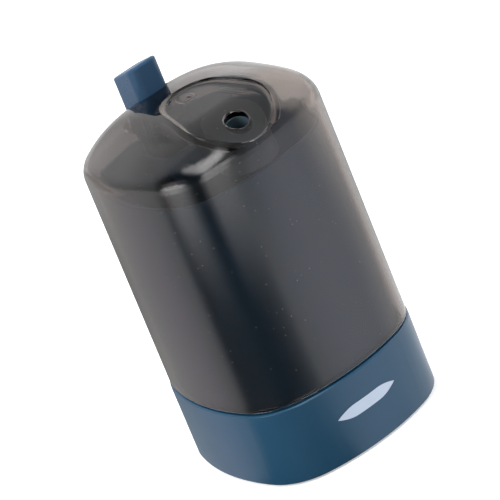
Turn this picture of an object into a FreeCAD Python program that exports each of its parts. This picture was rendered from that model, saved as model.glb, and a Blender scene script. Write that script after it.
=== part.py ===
import FreeCAD, Part
import math
import os
import re
import Sketcher

# Toothpick dispenser: a rounded square base, a smoked cover with a scooped dish and an outlet
# hole, and a push button at the back.  The button pushes a rod down, the rod tips a lever in
# the base, and the lever lifts an ejector under the outlet.
# Frame: +Z up, front of the object towards -Y, origin on the ground under the centre.
# Lengths are in millimetres and angles in degrees.

Vector = FreeCAD.Vector
doc = FreeCAD.newDocument("toothpick_dispenser")

# ---------------------------------------------------------------- driving dimensions
DIMENSIONS = {
    # plan outline: a square with bowed sides and large corners
    "body_half": 31.0, "side_radius": 58.6, "corner_radius": 17.0,
    # base
    "ground_gap": 0.6, "plate_edge": 1.3, "base_top": 23.0, "base_wall": 2.2,
    "deck_thick": 2.0, "base_round": 0.6, "plate_round": 0.4, "seat_inset": 1.2,
    "seat_width": 1.5, "seat_height": 0.6, "lever_slot_half": 8.0, "lever_slot_reach": 27.0,
    # feet and the screws above them
    "foot_place": 18.3, "foot_radius": 5.0, "foot_recess": 1.2, "foot_round": 0.4,
    "boss_radius": 5.6, "boss_top": 4.4, "head_recess": 1.4, "post_radius": 3.2,
    "screw_radius": 1.3, "screw_hole": 1.5, "pilot_radius": 1.32, "head_radius": 2.4,
    "head_thick": 1.3, "long_screw": 8.0, "short_screw": 6.0, "drive_width": 0.6,
    "drive_depth": 0.7,
    # container
    "hopper_half": 27.8, "hopper_wall": 1.4, "hopper_floor": 2.0, "hopper_rim": 86.2,
    "hopper_screw_x": 16.0, "hopper_screw_y": 11.0, "hopper_boss_top": 28.0,
    "duct_half_x": 4.1, "duct_front": 16.7, "duct_rear": 25.9, "duct_wall": 1.3,
    "duct_top": 84.0,
    # sloped trough
    "ramp_gap": 0.3, "ramp_low": 27.0, "ramp_skin": 1.8, "ramp_side_slope": 0.14,
    "ramp_back_slope": 0.10,
    # mechanism
    "rod_y": 21.3, "ejector_y": -21.7, "lever_axis_y": 6.967, "lever_axis_z": 12.3,
    "button_travel": 7.5, "lift_ratio": 2.0, "shank_radius": 2.5, "pin_radius": 1.0,
    "pin_half": 4.7, "pin_play": 0.15, "run_play": 0.05, "bush_radius": 3.5,
    "flange_radius": 4.0, "flange_top": 27.0,
    "hub_radius": 3.5, "arm_end_radius": 2.2, "lever_half": 4.9, "fork_half": 2.8,
    "axle_radius": 1.5, "axle_half": 8.4, "cheek_inner": 5.3, "cheek_outer": 8.0,
    "bracket_floor": 5.6, "bracket_thick": 2.0, "bracket_top": 15.8, "bracket_half": 5.0,
    "bracket_reach": 15.5, "bracket_screw_x": 12.0,
    "rod_shoulder": 50.0, "rod_half_x": 3.8, "rod_half_y": 4.3, "flute_depth": 2.4,
    "tenon_half_x": 2.5, "tenon_half_y": 4.0, "tenon_height": 6.0,
    "spring_wire": 0.7, "spring_radius": 3.4, "spring_turns": 8.0, "spring_gap": 0.05,
    # button cap
    "cap_bottom": 94.5, "cap_half_x": 4.7, "cap_half_y": 6.6, "cap_top": 107.6,
    "cap_slope": 0.42, "cap_corner": 2.8, "cap_round": 0.7,
    # cover
    "cover_step": 0.25, "cover_lift_gap": 0.1, "cover_wall": 1.8, "cover_draft": 0.2,
    "crown_top": 103.0, "crown_drop": 11.2, "crown_tilt": 2.4, "plan_power": 2.81,
    "crown_power_rear": 3.4, "crown_power_front": 4.0, "rim_round": 6.5,
    "slot_play": 0.6, "slot_corner": 3.4, "collar_wall": 1.2, "collar_bottom": 90.5,
    # dish and outlet
    "dish_front_y": -17.2, "dish_front_radius": 12.6, "dish_rear_y": -5.0,
    "dish_rear_radius": 10.0, "dish_floor_rear": 102.2, "dish_floor_bend": 101.4,
    "dish_start_y": 8.0, "dish_bend_y": -12.0, "dish_bend_radius": 31.0, "dish_lip_y": -31.0,
    "dish_round": 2.0,
    "outlet_radius": 3.1, "funnel_y": -19.5, "funnel_radius": 8.2, "funnel_wall": 1.2,
    "funnel_bottom": 87.0, "funnel_top": 98.5,
}

sheet = doc.addObject("Spreadsheet::Sheet", "Dims")
for row, (alias, number) in enumerate(DIMENSIONS.items(), start=1):
    sheet.set(f"A{row}", alias)
    sheet.set(f"B{row}", str(number))
    sheet.setAlias(f"B{row}", alias)
doc.recompute()


def linked(text):
    """An expression on the sheet's cells, written with their bare names."""
    return re.sub(r"[a-z]+(_[a-z]+)+", lambda name: "Dims." + name.group(0), str(text))


def size(text):
    """The present value of such an expression."""
    return float(sheet.evalExpression(str(text)))


def bind(item, **links):
    """Bind properties of item to expressions; a double underscore stands for a dot."""
    for name, text in links.items():
        item.setExpression(name.replace("__", "."), linked(text))
    return item


def move(item, x="0", y="0", z="0"):
    return bind(item, Placement__Base__x=x, Placement__Base__y=y, Placement__Base__z=z)


# ---------------------------------------------------------------- Part primitives
def box(name, xs, ys, zs):
    """A block between two expressions along each axis."""
    item = doc.addObject("Part::Box", name)
    bind(item, Length=f"({xs[1]}) - ({xs[0]})", Width=f"({ys[1]}) - ({ys[0]})",
         Height=f"({zs[1]}) - ({zs[0]})")
    return move(item, xs[0], ys[0], zs[0])


def rod(name, radius, low, high, x="0", y="0"):
    """An upright cylinder from height low to height high."""
    item = doc.addObject("Part::Cylinder", name)
    bind(item, Radius=radius, Height=f"({high}) - ({low})")
    return move(item, x, y, low)


def cross_rod(name, radius, half, y, z):
    """A cylinder along X, centred on x = 0."""
    item = doc.addObject("Part::Cylinder", name)
    item.Placement.Rotation = FreeCAD.Rotation(Vector(0, 1, 0), 90)
    bind(item, Radius=radius, Height=f"2 * ({half})")
    return move(item, f"-({half})", y, z)


def cone(name, low_radius, high_radius, low, high, x="0", y="0"):
    item = doc.addObject("Part::Cone", name)
    bind(item, Radius1=low_radius, Radius2=high_radius, Height=f"({high}) - ({low})")
    return move(item, x, y, low)


def cut(name, base, tool):
    item = doc.addObject("Part::Cut", name)
    item.Base = base
    item.Tool = tool
    return item


def fuse(name, items):
    item = doc.addObject("Part::MultiFuse", name)
    item.Shapes = items
    item.Refine = True
    return item


def common(name, first, second):
    item = doc.addObject("Part::Common", name)
    item.Base = first
    item.Tool = second
    return item


def round_edges(name, base, radius, chosen):
    """Fillet the edges of base for which chosen(edge) holds."""
    doc.recompute()
    item = doc.addObject("Part::Fillet", name)
    item.Base = base
    value = size(radius)
    numbers = [n for n, edge in enumerate(base.Shape.Edges, start=1) if chosen(edge)]
    item.Edges = [(n, value, value) for n in numbers]
    return item


# ---------------------------------------------------------------- sketches and bodies
def body(name):
    return doc.addObject("PartDesign::Body", name)


def sketch_on(owner, role, offset="0"):
    """A sketch on one of the owner's origin planes, moved along its normal."""
    item = owner.newObject("Sketcher::SketchObject", "Sketch")
    plane = [part for part in owner.Origin.OriginFeatures if part.Role == role][0]
    item.AttachmentSupport = (plane, "")
    item.MapMode = "FlatFace"
    return bind(item, AttachmentOffset__Base__z=offset)


def constrain(sketch, kind, *where, text):
    """Add one dimension to a sketch and bind it to an expression."""
    number = sketch.addConstraint(Sketcher.Constraint(kind, *where, size(text)))
    sketch.renameConstraint(number, f"size_{number}")
    sketch.setExpression(f"Constraints.size_{number}", linked(text))


def polygon(sketch, corners):
    """A closed run of straight lines through corners given as pairs of expressions."""
    points = [Vector(size(x), size(y), 0) for x, y in corners]
    first = sketch.GeometryCount
    count = len(points)
    for index in range(count):
        sketch.addGeometry(Part.LineSegment(points[index], points[(index + 1) % count]))
    for index, (x, y) in enumerate(corners):
        line = first + index
        joined = first + (index - 1) % count
        sketch.addConstraint(Sketcher.Constraint("Coincident", joined, 2, line, 1))
        constrain(sketch, "DistanceX", line, 1, text=x)
        constrain(sketch, "DistanceY", line, 1, text=y)
    return sketch


def rectangle(sketch, xs, ys):
    low_x, high_x = xs
    low_y, high_y = ys
    return polygon(sketch, [(low_x, low_y), (high_x, low_y), (high_x, high_y), (low_x, high_y)])


def circle(sketch, radius, x="0", y="0"):
    centre = Vector(size(x), size(y), 0)
    number = sketch.addGeometry(Part.Circle(centre, Vector(0, 0, 1), size(radius)))
    constrain(sketch, "Radius", number, text=radius)
    constrain(sketch, "DistanceX", number, 3, text=x)
    constrain(sketch, "DistanceY", number, 3, text=y)
    return sketch


def slot(sketch, radius, near, far):
    """A slot along the sketch's first axis between two centre distances."""
    reach, other, wide = size(far), size(near), size(radius)
    upper = Part.Circle(Vector(reach, 0, 0), Vector(0, 0, 1), wide)
    lower = Part.Circle(Vector(other, 0, 0), Vector(0, 0, 1), wide)
    quarter = math.pi / 2
    sketch.addGeometry(Part.ArcOfCircle(upper, -quarter, quarter))
    sketch.addGeometry(Part.ArcOfCircle(lower, quarter, 3 * quarter))
    sketch.addGeometry(Part.LineSegment(Vector(reach, wide, 0), Vector(other, wide, 0)))
    sketch.addGeometry(Part.LineSegment(Vector(other, -wide, 0), Vector(reach, -wide, 0)))
    for arc, arc_end, line, line_end in ((0, 2, 2, 1), (2, 2, 1, 1), (1, 2, 3, 1), (3, 2, 0, 1)):
        sketch.addConstraint(Sketcher.Constraint("Tangent", arc, arc_end, line, line_end))
    constrain(sketch, "Radius", 0, text=radius)
    constrain(sketch, "DistanceX", 0, 3, text=far)
    constrain(sketch, "DistanceY", 0, 3, text="0")
    constrain(sketch, "DistanceX", 1, 3, text=near)
    constrain(sketch, "DistanceY", 1, 3, text="0")
    return sketch


def outline(sketch, half):
    """The bowed square of the plan: four side arcs and four corner arcs, all tangent.

    Outlines of different half width are parallel curves, so both radii change with it.
    """
    inset = f"(body_half - ({half}))"
    side, corner = f"side_radius - {inset}", f"corner_radius - {inset}"
    reach, side_r, corner_r = size(half), size(side), size(corner)
    offset = side_r - reach
    # the corner arc's centre lies on the diagonal, side_r - corner_r from the side's centre
    gap = side_r - corner_r
    centre = (math.sqrt(2 * gap * gap - offset * offset) - offset) / 2
    half_side = math.atan2(centre, centre + offset)
    first = sketch.GeometryCount
    normal = Vector(0, 0, 1)
    for quarter in range(4):
        turn = quarter * math.pi / 2
        ahead = Vector(math.cos(turn), math.sin(turn), 0)
        left = Vector(-ahead.y, ahead.x, 0)
        bowed = Part.Circle(ahead * -offset, normal, side_r)
        rounded = Part.Circle((ahead + left) * centre, normal, corner_r)
        sketch.addGeometry(Part.ArcOfCircle(bowed, turn - half_side, turn + half_side))
        far = turn + math.pi / 2 - half_side
        sketch.addGeometry(Part.ArcOfCircle(rounded, turn + half_side, far))
    for step in range(8):
        here, after = first + step, first + (step + 1) % 8
        sketch.addConstraint(Sketcher.Constraint("Tangent", here, 2, after, 1))
    for quarter in range(1, 4):
        arc = first + 2 * quarter
        sketch.addConstraint(Sketcher.Constraint("Equal", first, arc))
        sketch.addConstraint(Sketcher.Constraint("Equal", first + 1, arc + 1))
    constrain(sketch, "Radius", first, text=side)
    constrain(sketch, "Radius", first + 1, text=corner)
    away = f"{side} - ({half})"
    for quarter, (x, y) in enumerate(((f"-({away})", "0"), ("0", f"-({away})"),
                                      (away, "0"), ("0", away))):
        constrain(sketch, "DistanceX", first + 2 * quarter, 3, text=x)
        constrain(sketch, "DistanceY", first + 2 * quarter, 3, text=y)
    return sketch


def pad(owner, sketch, length, both_ways=False, down=False):
    item = owner.newObject("PartDesign::Pad", "Pad")
    item.Profile = sketch
    item.SideType = "Symmetric" if both_ways else "One side"
    item.Reversed = down
    return bind(item, Length=length)


def pocket(owner, sketch, length, both_ways=False, up=False):
    """Remove material below the sketch, or above it with up, and see that some went."""
    doc.recompute()
    before = owner.Shape.Volume
    item = owner.newObject("PartDesign::Pocket", "Pocket")
    item.Profile = sketch
    item.SideType = "Symmetric" if both_ways else "One side"
    item.Reversed = up
    bind(item, Length=length)
    doc.recompute()
    if item.Shape.Volume > before - 1e-3:
        raise RuntimeError(f"a pocket of {owner.Name} cuts nothing")
    return item


def soften(owner, radius, chosen, kind="PartDesign::Fillet"):
    """Fillet or chamfer the edges of the owner's tip for which chosen(edge) holds."""
    doc.recompute()
    tip = owner.Tip
    numbers = [n for n, edge in enumerate(tip.Shape.Edges, start=1) if chosen(edge)]
    item = owner.newObject(kind, "Softened")
    item.Base = (tip, [f"Edge{n}" for n in numbers])
    return bind(item, **({"Radius": radius} if kind.endswith("Fillet") else {"Size": radius}))


def level_at(text, tolerance=1e-4):
    """A test for edges that lie flat at one height."""
    height = size(text)
    return lambda edge: (abs(edge.BoundBox.ZMin - height) < tolerance
                         and abs(edge.BoundBox.ZMax - height) < tolerance)


def upright(edge):
    return edge.BoundBox.XLength < 1e-4 and edge.BoundBox.YLength < 1e-4


def reach_of(edge):
    """The greatest distance of an edge's box from the vertical axis, along X or Y."""
    b = edge.BoundBox
    return max(abs(b.XMin), abs(b.XMax), abs(b.YMin), abs(b.YMax))


PLATE_TOP = "ground_gap + plate_edge"
CORNERS = {"front_left": ("-", "-"), "front_right": ("", "-"),
           "rear_left": ("-", ""), "rear_right": ("", "")}


def at_corners(x, y):
    """The four places at plus or minus x and y, as expressions."""
    return [(f"{sx}({x})", f"{sy}({y})") for sx, sy in CORNERS.values()]


def flat_edge_at(text, beyond):
    """Edges that lie flat at one height and reach past a distance from the axis."""
    level, limit = level_at(text), size(beyond)
    return lambda edge: level(edge) and reach_of(edge) > limit


# ---------------------------------------------------------------- base
def make_base_shell():
    """Open-bottomed skirt with a deck on top, a slot for the lever and four screw posts."""
    owner = body("base_shell")
    pad(owner, outline(sketch_on(owner, "XY_Plane", PLATE_TOP), "body_half"),
        f"base_top - ({PLATE_TOP})")
    soften(owner, "base_round", flat_edge_at("base_top", "body_half * 0.7"))
    pocket(owner, outline(sketch_on(owner, "XY_Plane", PLATE_TOP), "body_half - base_wall"),
           f"base_top - deck_thick - ({PLATE_TOP})", up=True)
    seat = sketch_on(owner, "XY_Plane", "base_top - 0.2")
    outline(seat, "body_half - seat_inset")
    outline(seat, "body_half - seat_inset - seat_width")
    pad(owner, seat, "seat_height + 0.2")
    lever_slot = sketch_on(owner, "XY_Plane", "base_top + 1")
    rectangle(lever_slot, ("-lever_slot_half", "lever_slot_half"),
              ("-lever_slot_reach", "lever_slot_reach"))
    pocket(owner, lever_slot, "deck_thick + 2")
    posts = sketch_on(owner, "XY_Plane", "boss_top + 0.1")
    for x, y in at_corners("foot_place", "foot_place"):
        circle(posts, "post_radius", x, y)
    pad(owner, posts, "base_top - deck_thick - boss_top")
    pilots = sketch_on(owner, "XY_Plane", "boss_top")
    for x, y in at_corners("foot_place", "foot_place"):
        circle(pilots, "pilot_radius", x, y)
    pocket(owner, pilots, "long_screw + 2", up=True)
    screw_holes = sketch_on(owner, "XY_Plane", "base_top + 1")
    for x, y in at_corners("hopper_screw_x", "hopper_screw_y"):
        circle(screw_holes, "screw_hole", x, y)
    pocket(owner, screw_holes, "deck_thick + 2")
    return owner


def make_base_plate():
    """Bottom plate: foot recesses and screw holes in four bosses, two posts for the bracket."""
    owner = body("base_plate")
    pad(owner, outline(sketch_on(owner, "XY_Plane", "ground_gap"), "body_half"), "plate_edge")
    soften(owner, "plate_round", flat_edge_at("ground_gap", "body_half * 0.7"))
    bosses = sketch_on(owner, "XY_Plane", f"{PLATE_TOP} - 0.2")
    for x, y in at_corners("foot_place", "foot_place"):
        circle(bosses, "boss_radius", x, y)
    pad(owner, bosses, f"boss_top - ({PLATE_TOP}) + 0.2")
    posts = sketch_on(owner, "XY_Plane", f"{PLATE_TOP} - 0.2")
    for x in ("-bracket_screw_x", "bracket_screw_x"):
        circle(posts, "post_radius", x, "lever_axis_y")
    pad(owner, posts, f"bracket_floor - ({PLATE_TOP}) + 0.2")
    depths = (("foot_radius", "foot_recess"), ("head_radius + 0.1", "foot_recess + head_recess"),
              ("screw_hole", "boss_top"))
    for radius, depth in depths:
        holes = sketch_on(owner, "XY_Plane", "ground_gap")
        for x, y in at_corners("foot_place", "foot_place"):
            circle(holes, radius, x, y)
        pocket(owner, holes, depth, up=True)
    pilots = sketch_on(owner, "XY_Plane", "bracket_floor")
    for x in ("-bracket_screw_x", "bracket_screw_x"):
        circle(pilots, "pilot_radius", x, "lever_axis_y")
    pocket(owner, pilots, "bracket_floor - ground_gap - 0.8")
    return owner


def make_foot(place, signs):
    """A rubber disc pressed into its recess; it stands proud of the plate."""
    x, y = (f"{sign}(foot_place)" for sign in signs)
    disc = rod(f"foot_{place}_disc", "foot_radius - 0.02", "0", "ground_gap + foot_recess", x, y)
    return round_edges(f"foot_{place}", disc, "foot_round",
                       lambda edge: edge.BoundBox.ZMax < 0.01)


def make_screw(name, x, y, head_z, length, up):
    """A pan-head screw with a cross drive; its shank goes up or down from the head's seat."""
    away, towards = ("-", "+") if up else ("+", "-")
    ends = [f"({head_z}) {away} head_thick", head_z, f"({head_z}) {towards} {length}"]
    head_low, head_high = (ends[0], ends[1]) if up else (ends[1], ends[0])
    shank_low, shank_high = (ends[1], ends[2]) if up else (ends[2], ends[1])
    head = rod(name + "_head", "head_radius", head_low, head_high, x, y)
    shank = rod(name + "_shank", "screw_radius", shank_low, shank_high, x, y)
    drive_low, drive_high = ((head_low, f"{head_low} + drive_depth") if up
                             else (f"{head_high} - drive_depth", head_high))
    across, along = "head_radius * 0.7", "drive_width / 2"
    bars = [box(f"{name}_drive_{n}", (f"({x}) - ({a})", f"({x}) + {a}"),
                (f"({y}) - ({b})", f"({y}) + {b}"), (drive_low, drive_high))
            for n, (a, b) in enumerate(((across, along), (along, across)))]
    return cut(name, fuse(name + "_blank", [head, shank]), fuse(name + "_drive", bars))


def make_screws(name, places, head_z, length, up):
    item = doc.addObject("Part::Compound", name)
    item.Links = [make_screw(f"{name}_{n}", x, y, head_z, length, up)
                  for n, (x, y) in enumerate(places, start=1)]
    return item


# ---------------------------------------------------------------- container
def make_hopper():
    """Open-topped container with a floor, a duct for the push rod and four screw bosses."""
    owner = body("hopper")
    inside = "hopper_half - hopper_wall"
    floor_top = "base_top + hopper_floor"
    pad(owner, outline(sketch_on(owner, "XY_Plane", "base_top"), "hopper_half"),
        "hopper_rim - base_top")
    pocket(owner, outline(sketch_on(owner, "XY_Plane", floor_top), inside),
           f"hopper_rim - ({floor_top})", up=True)
    soften(owner, "hopper_wall * 0.35", level_at("hopper_rim"))
    duct = sketch_on(owner, "XY_Plane", f"{floor_top} - 0.2")
    rectangle(duct, ("-duct_half_x - duct_wall", "duct_half_x + duct_wall"),
              ("duct_front - duct_wall", f"{inside} + 0.3"))
    pad(owner, duct, f"duct_top - ({floor_top}) + 0.2")
    bore = sketch_on(owner, "XY_Plane", floor_top)
    rectangle(bore, ("-duct_half_x", "duct_half_x"), ("duct_front", "duct_rear"))
    pocket(owner, bore, f"duct_top - ({floor_top}) + 1", up=True)
    bosses = sketch_on(owner, "XY_Plane", f"{floor_top} - 0.2")
    for x, y in at_corners("hopper_screw_x", "hopper_screw_y"):
        circle(bosses, "post_radius - 0.4", x, y)
    pad(owner, bosses, f"hopper_boss_top - ({floor_top}) + 0.2")
    pilots = sketch_on(owner, "XY_Plane", "base_top")
    for x, y in at_corners("hopper_screw_x", "hopper_screw_y"):
        circle(pilots, "pilot_radius", x, y)
    pocket(owner, pilots, "hopper_boss_top - base_top - 0.8", up=True)
    seats = sketch_on(owner, "XY_Plane", "base_top")
    for y in ("rod_y", "ejector_y"):
        circle(seats, "bush_radius", "0", y)
    pocket(owner, seats, "hopper_floor + 1", up=True)
    return owner


def valley(name, lowered):
    """The space below a V-shaped valley that falls towards the ejector."""
    low, side = f"ramp_low - ({lowered})", "ramp_side_slope * body_half"
    start_y = "-body_half"
    start_z = f"{low} + ramp_back_slope * ({start_y} - ejector_y)"
    face = doc.addObject("Sketcher::SketchObject", name + "_section")
    face.Placement.Rotation = FreeCAD.Rotation(Vector(1, 0, 0), 90)
    polygon(face, [("-body_half", "-body_half"), ("body_half", "-body_half"),
                   ("body_half", side), ("0", "0"), ("-body_half", side)])
    move(face, y=start_y, z=start_z)
    item = doc.addObject("Part::Extrusion", name)
    item.Base = face
    item.DirMode = "Custom"
    item.Dir = Vector(0, 1, 0)
    item.Solid = True
    return bind(item, Dir__z="ramp_back_slope",
                LengthFwd="2 * body_half * sqrt(1 + ramp_back_slope ^ 2)")


def make_feed_ramp():
    """A thin-walled trough that drops into the container and leads to the ejector."""
    half = "hopper_half - hopper_wall - ramp_gap"
    floor_top = "base_top + hopper_floor"

    def under_valley(name, reach, low, lowered):
        plan = outline(doc.addObject("Sketcher::SketchObject", name + "_plan"), reach)
        move(plan, z=low)
        prism = doc.addObject("Part::Extrusion", name + "_prism")
        prism.Base = plan
        prism.DirMode = "Custom"
        prism.Dir = Vector(0, 0, 1)
        prism.Solid = True
        bind(prism, LengthFwd="body_half")
        return common(name, prism, valley(name + "_valley", lowered))

    block = under_valley("ramp_block", half, floor_top, "0")
    room = under_valley("ramp_room", f"{half} - ramp_skin", f"{floor_top} - 1", "ramp_skin")
    duct_hole = box("ramp_duct_hole", ("-duct_half_x - duct_wall - ramp_gap",
                                       "duct_half_x + duct_wall + ramp_gap"),
                    ("duct_front - duct_wall - ramp_gap", "body_half"),
                    (f"{floor_top} - 2", "body_half * 2"))
    ejector_hole = rod("ramp_ejector_hole", "flange_radius + 0.2", floor_top,
                       "body_half * 2", y="ejector_y")
    return cut("feed_ramp", block, fuse("ramp_openings", [room, duct_hole, ejector_hole]))


def make_bush(name, y):
    """A flanged guide bush through the container's floor."""
    floor_top = "base_top + hopper_floor"
    tube = rod(name + "_tube", "bush_radius", "base_top", floor_top, y=y)
    flange = rod(name + "_flange", "flange_radius", floor_top, "flange_top", y=y)
    bore = rod(name + "_bore", "shank_radius + run_play", "base_top - 1", "flange_top + 1", y=y)
    return cut(name, fuse(name + "_blank", [tube, flange]), bore)


# ---------------------------------------------------------------- mechanism
def make_lever_bracket():
    """A strip on two posts with two cheeks that carry the lever's axle."""
    owner = body("lever_bracket")
    front = sketch_on(owner, "XZ_Plane", "-(lever_axis_y)")
    strip_top = "bracket_floor + bracket_thick"
    polygon(front, [("-bracket_reach", "bracket_floor"), ("bracket_reach", "bracket_floor"),
                    ("bracket_reach", strip_top), ("cheek_outer", strip_top),
                    ("cheek_outer", "bracket_top"), ("cheek_inner", "bracket_top"),
                    ("cheek_inner", strip_top), ("-cheek_inner", strip_top),
                    ("-cheek_inner", "bracket_top"), ("-cheek_outer", "bracket_top"),
                    ("-cheek_outer", strip_top), ("-bracket_reach", strip_top)])
    pad(owner, front, "2 * bracket_half", both_ways=True)
    tall = size("bracket_top")
    soften(owner, "bracket_half * 0.6", lambda edge: edge.BoundBox.XLength > 1
           and edge.BoundBox.XLength < 3 and abs(edge.BoundBox.ZMin - tall) < 1e-4
           and edge.BoundBox.YLength < 1e-4)
    bore = sketch_on(owner, "YZ_Plane")
    circle(bore, "axle_radius", "lever_axis_y", "lever_axis_z")
    pocket(owner, bore, "2 * cheek_outer + 2", both_ways=True)
    holes = sketch_on(owner, "XY_Plane", f"{strip_top} + 1")
    for x in ("-bracket_screw_x", "bracket_screw_x"):
        circle(holes, "screw_hole", x, "lever_axis_y")
    pocket(owner, holes, "bracket_thick + 2")
    return owner


def make_rocker_lever():
    """Lever along its own Y axis, forked and slotted at both ends, tilted to the rest angle."""
    owner = body("rocker_lever")
    rise = "button_travel / 2"
    rear, front = "(rod_y - lever_axis_y)", "(lever_axis_y - ejector_y)"
    rear_far = f"sqrt({rear} ^ 2 + ({rise}) ^ 2)"
    front_far = f"sqrt({front} ^ 2 + (lift_ratio * {rise}) ^ 2)"
    rear_mid, front_mid = f"({rear} + {rear_far}) / 2", f"({front} + {front_far}) / 2"
    web = sketch_on(owner, "YZ_Plane")
    end, hub = "arm_end_radius", "hub_radius * 0.85"
    polygon(web, [(rear_mid, f"-({end})"), (rear_mid, end), ("0", hub), (f"-({front_mid})", end),
                  (f"-({front_mid})", f"-({end})"), ("0", f"-({hub})")])
    pad(owner, web, "2 * lever_half", both_ways=True)
    for radius, place in (("hub_radius", "0"), (end, rear_mid), (end, f"-({front_mid})")):
        boss = circle(sketch_on(owner, "YZ_Plane"), radius, place, "0")
        pad(owner, boss, "2 * lever_half", both_ways=True)
    for near, far in (("hub_radius + 3.5", f"{rear_far} + 5"),
                      (f"-({front_far} + 5)", f"-({front_mid} - 7)")):
        gap = sketch_on(owner, "XY_Plane", "10")
        rectangle(gap, ("-fork_half", "fork_half"), (near, far))
        pocket(owner, gap, "20")
    play = "pin_radius + pin_play"
    pocket(owner, slot(sketch_on(owner, "YZ_Plane"), play, rear, rear_far),
           "2 * lever_half + 2", both_ways=True)
    pocket(owner, slot(sketch_on(owner, "YZ_Plane"), play, f"-({front_far})", f"-{front}"),
           "2 * lever_half + 2", both_ways=True)
    pocket(owner, circle(sketch_on(owner, "YZ_Plane"), "axle_radius + run_play"),
           "2 * lever_half + 2", both_ways=True)
    owner.Placement.Rotation = FreeCAD.Rotation(Vector(1, 0, 0), 1)
    bind(owner, Placement__Rotation__Angle=f"atan({rise} / {rear})")
    return move(owner, y="lever_axis_y", z="lever_axis_z")


def pin_height(follows):
    """Height of a cross pin at rest: the rod's is up and the ejector's is down."""
    return {"rod": "lever_axis_z + button_travel / 2",
            "ejector": "lever_axis_z - lift_ratio * button_travel / 2"}[follows]


def make_axle():
    blank = cross_rod("axle_blank", "axle_radius", "axle_half", "lever_axis_y", "lever_axis_z")
    return round_edges("rocker_axle", blank, "0.3", lambda edge: edge.BoundBox.XLength < 1e-3)


def make_ejector_rod():
    """A round rod with a small cup on top that holds one pick's point."""
    foot = f"{pin_height('ejector')} - shank_radius + 0.1"
    shaft = rod("ejector_shaft", "shank_radius", foot, "flange_top", y="ejector_y")
    cup = cone("ejector_cup", "0.4", "shank_radius - 0.7", "flange_top - 1.4", "flange_top",
               y="ejector_y")
    hole = cross_rod("ejector_pin_hole", "pin_radius", "shank_radius + 1", "ejector_y",
                     pin_height("ejector"))
    return cut("ejector_rod", shaft, fuse("ejector_openings", [cup, hole]))


def make_push_rod():
    """Round shank below, fluted square rod in the duct, tenon for the cap on top."""
    owner = body("push_rod")
    foot = f"{pin_height('rod')} - shank_radius"
    pad(owner, circle(sketch_on(owner, "XY_Plane", foot), "shank_radius", "0", "rod_y"),
        f"rod_shoulder - ({foot}) + 0.2")
    square = sketch_on(owner, "XY_Plane", "rod_shoulder")
    rectangle(square, ("-rod_half_x", "rod_half_x"), ("rod_y - rod_half_y", "rod_y + rod_half_y"))
    pad(owner, square, "cap_bottom - rod_shoulder")
    tenon = sketch_on(owner, "XY_Plane", "cap_bottom - 0.2")
    rectangle(tenon, ("-tenon_half_x", "tenon_half_x"),
              ("rod_y - tenon_half_y", "rod_y + tenon_half_y"))
    pad(owner, tenon, "tenon_height + 0.2")
    for inner, outer_side in (("rod_half_x - flute_depth", "rod_half_x + 1"),
                              ("-rod_half_x - 1", "-rod_half_x + flute_depth")):
        flute = sketch_on(owner, "XY_Plane", "rod_shoulder + 3")
        rectangle(flute, (inner, outer_side), ("rod_y - rod_half_y + 1.4", "rod_y + rod_half_y - 1.4"))
        pocket(owner, flute, "cap_bottom - rod_shoulder - 6", up=True)
    cross = circle(sketch_on(owner, "YZ_Plane"), "pin_radius", "rod_y", pin_height("rod"))
    pocket(owner, cross, "4 * shank_radius", both_ways=True)
    return owner


def make_return_spring():
    """A round-wire coil between the bush's flange and the rod's shoulder."""
    wire, radius = size("spring_wire"), size("spring_radius")
    low = size("flange_top") + wire / 2
    height = size("rod_shoulder - spring_gap") - wire / 2 - low
    path = Part.makeHelix(height / size("spring_turns"), height, radius)
    start = Part.Circle(Vector(radius, 0, 0), Vector(0, 1, 0), wire / 2)
    section = Part.Wire(start.toShape())
    item = doc.addObject("Part::Feature", "return_spring")
    item.Shape = Part.Wire(path).makePipeShell([section], True, True)
    return move(item, y="rod_y", z="flange_top + spring_wire / 2")


def make_button_cap():
    """The part that is pressed: a rounded block whose top falls towards the back."""
    owner = body("button_cap")
    plan = sketch_on(owner, "XY_Plane", "cap_bottom")
    rectangle(plan, ("-cap_half_x", "cap_half_x"), ("rod_y - cap_half_y", "rod_y + cap_half_y"))
    pad(owner, plan, "cap_top - cap_bottom + 6")
    slant = sketch_on(owner, "YZ_Plane")
    rise = "cap_slope * (cap_half_y + 1)"
    near, far = "rod_y - cap_half_y - 1", "rod_y + cap_half_y + 1"
    polygon(slant, [(near, f"cap_top + {rise}"), (far, f"cap_top - {rise}"),
                    (far, "cap_top + 10"), (near, "cap_top + 10")])
    pocket(owner, slant, "4 * cap_half_x", both_ways=True)
    soften(owner, "cap_corner", upright)
    lowest = size("cap_top - cap_slope * cap_half_y - 1")
    soften(owner, "cap_round", lambda edge: edge.BoundBox.ZMin > lowest)
    socket = sketch_on(owner, "XY_Plane", "cap_bottom")
    rectangle(socket, ("-tenon_half_x - 0.03", "tenon_half_x + 0.03"),
              ("rod_y - tenon_half_y - 0.03", "rod_y + tenon_half_y + 0.03"))
    pocket(owner, socket, "tenon_height + 0.3", up=True)
    return owner


# ---------------------------------------------------------------- cover
def crown_height(x, y, top):
    """Height of the domed top: flat in the middle, falling to the rim, higher at the front."""
    half, power = size("body_half"), size("plan_power")
    spread = ((abs(x) / half) ** power + (abs(y) / half) ** power) ** (1 / power)
    forward = min(max(-y / half, 0.0), 1.0)
    blend = forward * forward * (3 - 2 * forward)
    rear, front = size("crown_power_rear"), size("crown_power_front")
    fall = size("crown_drop") * spread ** (rear + (front - rear) * blend)
    return top - fall - size("crown_tilt") * y / half


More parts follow.
